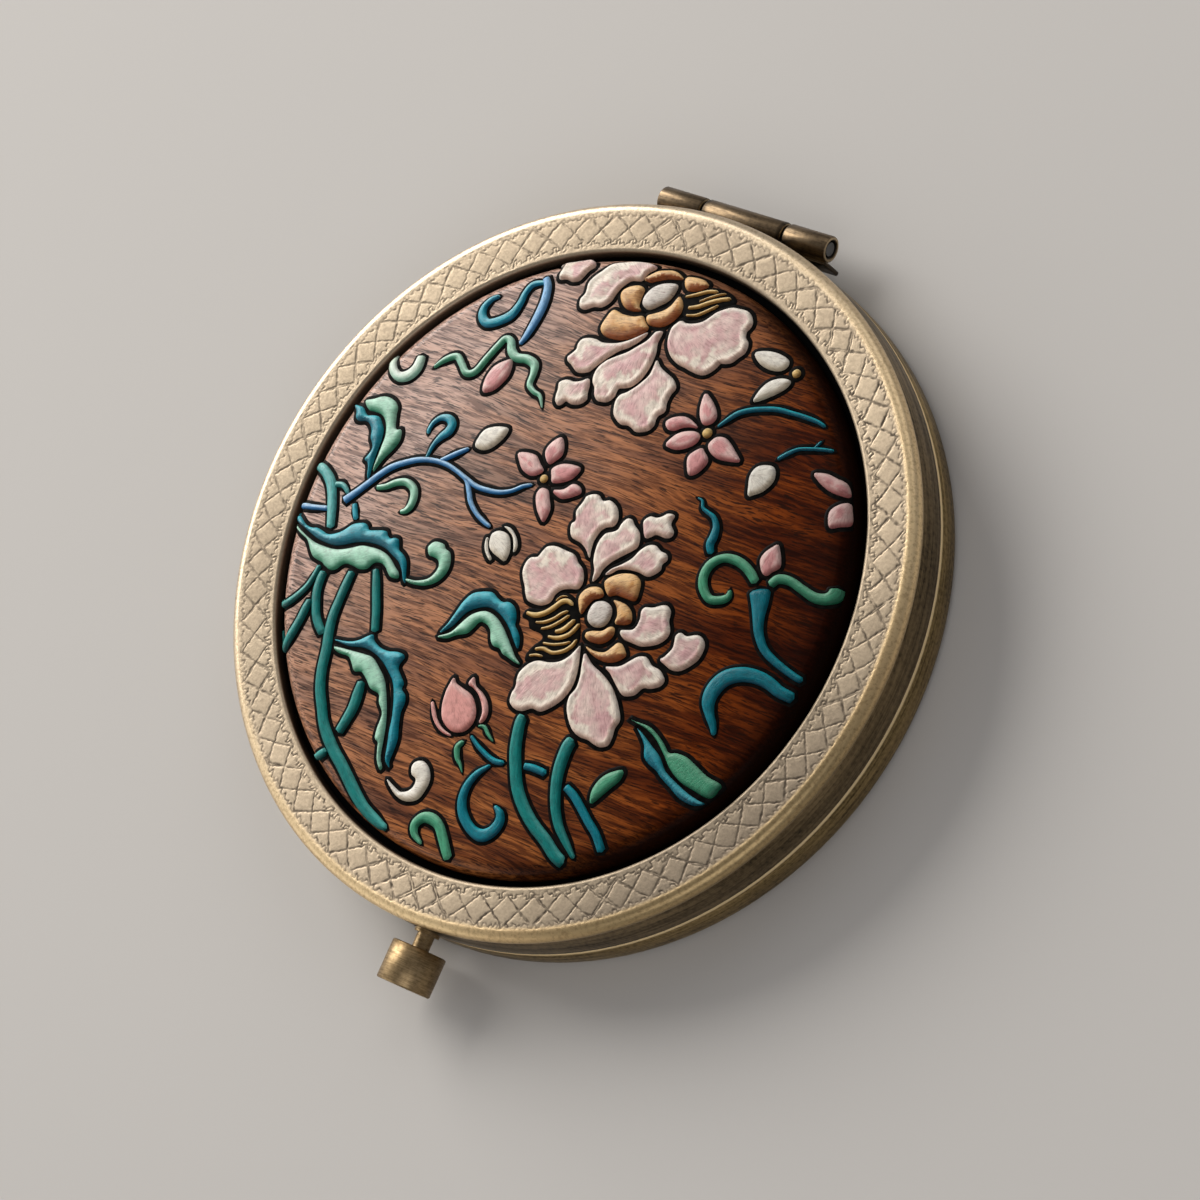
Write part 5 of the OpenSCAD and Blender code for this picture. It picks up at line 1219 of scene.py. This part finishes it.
# Colours of the enamels
PETAL = Paint((0.69, 0.41, 0.40), rim=(0.88, 0.78, 0.65), rim_width=0.85, lit=(0.99, 0.93, 0.83),
              shaded=(0.56, 0.37, 0.28), line=(0.50, 0.25, 0.23), blotchy=0.5)
PINK = Paint((0.66, 0.30, 0.29), rim=(0.78, 0.52, 0.47), rim_width=0.45, lit=(0.82, 0.58, 0.54),
             shaded=(0.42, 0.14, 0.13))
SALMON = Paint((0.72, 0.34, 0.30), rim=(0.78, 0.44, 0.39), rim_width=0.3, lit=(0.86, 0.58, 0.52),
               shaded=(0.46, 0.16, 0.13))
CREAM = Paint((0.84, 0.79, 0.68), lit=(0.93, 0.90, 0.82), shaded=(0.55, 0.46, 0.33))
OCHRE = Paint((0.62, 0.29, 0.085), rim=(0.76, 0.46, 0.19), rim_width=0.5, lit=(0.88, 0.60, 0.31),
              shaded=(0.22, 0.055, 0.012), side_width=1.7, blotchy=0.9)
OVAL = Paint((0.66, 0.60, 0.53), lit=(0.84, 0.80, 0.74), shaded=(0.34, 0.26, 0.19))
GOLD = Paint((0.72, 0.48, 0.17), lit=(0.92, 0.72, 0.38), shaded=(0.28, 0.14, 0.03), side_width=0.3)
TEAL = Paint((0, 0.225, 0.29), lit=(0.12, 0.56, 0.64), shaded=(0, 0.08, 0.12), side_width=1.0)
GREEN = Paint((0.34, 0.63, 0.46), lit=(0.56, 0.82, 0.67), shaded=(0.04, 0.22, 0.12), side_width=0.8)
DEEP = Paint((0.07, 0.34, 0.19), lit=(0.22, 0.52, 0.34), shaded=(0.015, 0.14, 0.07), side_width=0.6)
BLUE = Paint((0.20, 0.43, 0.69), lit=(0.50, 0.71, 0.88), shaded=(0.01, 0.12, 0.30), side_width=0.4)
AQUA = Paint((0.015, 0.31, 0.39), lit=(0.30, 0.66, 0.74), shaded=(0.002, 0.13, 0.22), side_width=0.4)
MID_TEAL = Paint((0, 0.175, 0.225), lit=(0.02, 0.42, 0.50), shaded=(0, 0.07, 0.11), side_width=0.4)
DARK_TEAL = Paint((0.003, 0.19, 0.172), lit=(0.13, 0.52, 0.47), shaded=(0, 0.06, 0.055), side_width=0.5)
PALE_TEAL = Paint((0.09, 0.40, 0.38), lit=(0.31, 0.63, 0.58), shaded=(0.01, 0.16, 0.15), side_width=0.5)
MINT = Paint((0.64, 0.77, 0.64), lit=(0.90, 0.93, 0.86), shaded=(0.24, 0.46, 0.34), side_width=0.6)
JET = Paint((0.006, 0.005, 0.005))

# Where the painted strokes of some pieces run from, if not from their first point. From FAR they
# run straight, and the petals also have a ridge inside their rim.
LOWER_HEART = {"root": (7.2, -3.4), "ridge": 0.14}
UPPER_HEART = {"root": (-1.4, 25.6), "ridge": 0.14}
FAR = {"root": (60, 40)}

# Each relief: its piece, slot and node, its enamel's roughness and hatching, and what is on it
RELIEFS = [
    ("petals", "petal_enamel", "relief_petals", 0.42, 0.55, [
        (Relief.shape, LOWER_PETALS, PETAL, LOWER_HEART),
        (Relief.shape, UPPER_PETALS, PETAL, UPPER_HEART),
        (Relief.shape, PINK_A, PINK, {"root": NODES[0][:2]}),
        (Relief.shape, PINK_B, PINK, {"root": NODES[1][:2]}),
        (Relief.shape, PINK_BUDS, PINK, {}),
        (Relief.shape, TULIP, SALMON, {}),
        (Relief.shape, CREAM_SHAPES, CREAM, {}),
        (Relief.stroke, CREAM_STROKES, MINT, {}),
        (Relief.stroke, SALMON_STROKES, SALMON, {})]),
    ("centres", "centre_enamel", "relief_centres", 0.38, 0.9, [
        (Relief.shape, BLACK_PATCHES, JET, {"height": 0.1, "roll": 0.2, "outlined": False, "black": True}),
        (Relief.stroke, STAMENS, GOLD, {"outlined": False, "base": 0.06}),
        (Relief.shape, LOWER_SCALES + UPPER_SCALES, OCHRE, FAR),
        (Relief.shape, OVALS, OVAL, FAR),
        (Relief.shape, NODES, GOLD, FAR)]),
    ("leaves", "leaf_enamel", "relief_leaves", 0.36, 0.55, [
        (Relief.shape, TEAL_LEAVES, TEAL, FAR),
        (Relief.shape, GREEN_LEAVES, GREEN, FAR),
        (Relief.shape, DEEP_LEAVES, DEEP, FAR),
        (Relief.stroke, GREEN_STROKES, GREEN, {}),
        (Relief.stroke, DEEP_STROKES, DEEP, {})]),
    ("stems", "stem_enamel", "relief_stems", 0.34, 0.55, [
        (Relief.stroke, DARK_STEMS, DARK_TEAL, {}),
        (Relief.stroke, PALE_TEAL_STEMS, PALE_TEAL, {}),
        (Relief.stroke, TEAL_STEMS, MID_TEAL, {}),
        (Relief.stroke, AQUA_STROKES, AQUA, {}),
        (Relief.stroke, BLUE_STEMS, BLUE, {})]),
]


def make_relief(name, slot, replaced, roughness, hatching, rows):
    relief = Relief()
    for form, group, paint, settings in rows:
        for numbers in group:
            form(relief, numbers, paint, **settings)
    relief.finish(name, slot, enamel(slot, roughness, hatching), replaced)


def wear_edges(node, width):
    """Weld a node's corners and round its sharp edges, with a width in mm."""
    weld = node.modifiers.new("joined_corners", "WELD")
    weld.merge_threshold = 0.001 * MM
    bevel = node.modifiers.new("worn_edges", "BEVEL")
    bevel.width = width * MM
    bevel.segments = 2
    bevel.limit_method = "ANGLE"
    bevel.angle_limit = math.radians(50)


make_camera()
make_world()
make_floor()
for lamp in LAMPS:
    make_lamp(*lamp)
scene.view_settings.view_transform = "Standard"

WALL_LINES = (40, 2.0, 2600)
SIDE_METAL = brushed("side_metal", (0.03, 0.021, 0.011), (0.27, 0.195, 0.105), 0.36, "Z", WALL_LINES)
BASE_METAL = brushed("base_metal", (0.045, 0.031, 0.013), (0.45, 0.32, 0.145), 0.36, "Z", WALL_LINES)
HINGE_METAL = brushed("hinge_metal", (0.045, 0.031, 0.02), (0.21, 0.148, 0.086), 0.34, "X", (900, 4.0, 350),
                      HINGE_LINE, 0.12)
KNOB_METAL = brushed("knob_metal", (0.13, 0.086, 0.04), (0.39, 0.275, 0.145), 0.40, "Y", (600, 1.2, 8000),
                     KNOB_LINE, 0.12)
PLAIN_METAL = {"grain": (900, 5, 0.6), "relief": (0.15, 0.00003)}
STEEL = grained("steel", 1, 0.3, (0.30, 0.30, 0.31), (0.48, 0.48, 0.49), **PLAIN_METAL)
DARK_STEEL = grained("dark_steel", 1, 0.35, (0.07, 0.07, 0.072), (0.14, 0.14, 0.145), **PLAIN_METAL)
BLACK = grained("black_outline", 0, 0.35, (0.002, 0.002, 0.002), (0.008, 0.007, 0.006),
                (1800, 3), (0.3, 0.00004), specular=0.02)
MATERIALS = {
    "side_metal": SIDE_METAL,
    "hinge_metal": HINGE_METAL,
    "knob_metal": KNOB_METAL,
    "ring_metal": grained("ring_metal", 1, 0.3, (0.40, 0.29, 0.14), (0.62, 0.47, 0.26), **PLAIN_METAL),
    "steel": STEEL,
    "mirror_glass": grained("mirror_glass", 1, 0.02, (0.86, 0.89, 0.90), (0.92, 0.94, 0.95), (60, 3)),
    "pad": grained("foam", 0, 0.9, (0.01, 0.01, 0.01), (0.05, 0.05, 0.05), (2500, 3), (0.6, 0.0001)),
}

for row in frame["record"]["subparts"]:
    if row["material_slot"] in MATERIALS:
        mesh = nodes[row["node"]].data
        mesh.materials.clear()
        mesh.materials.append(MATERIALS[row["material_slot"]])
for name, material in (("lid_shell", lid_metal()), ("base_shell", base_metal()), ("hinge_pin", DARK_STEEL),
                       ("stem_bush", KNOB_METAL), ("base_hinge_leaf", hinge_metal()),
                       ("lid_hinge_leaf", hinge_metal())):
    nodes[name].data.materials[0] = material
for name, width in (("base_hinge_leaf", 0.22), ("lid_hinge_leaf", 0.22), ("button_knob", 0.15),
                    ("base_shell", 0.1)):
    wear_edges(nodes[name], width)

make_spring(nodes["latch_spring"], STEEL)
make_wood()
make_bezel()
for relief in RELIEFS:
    make_relief(*relief)
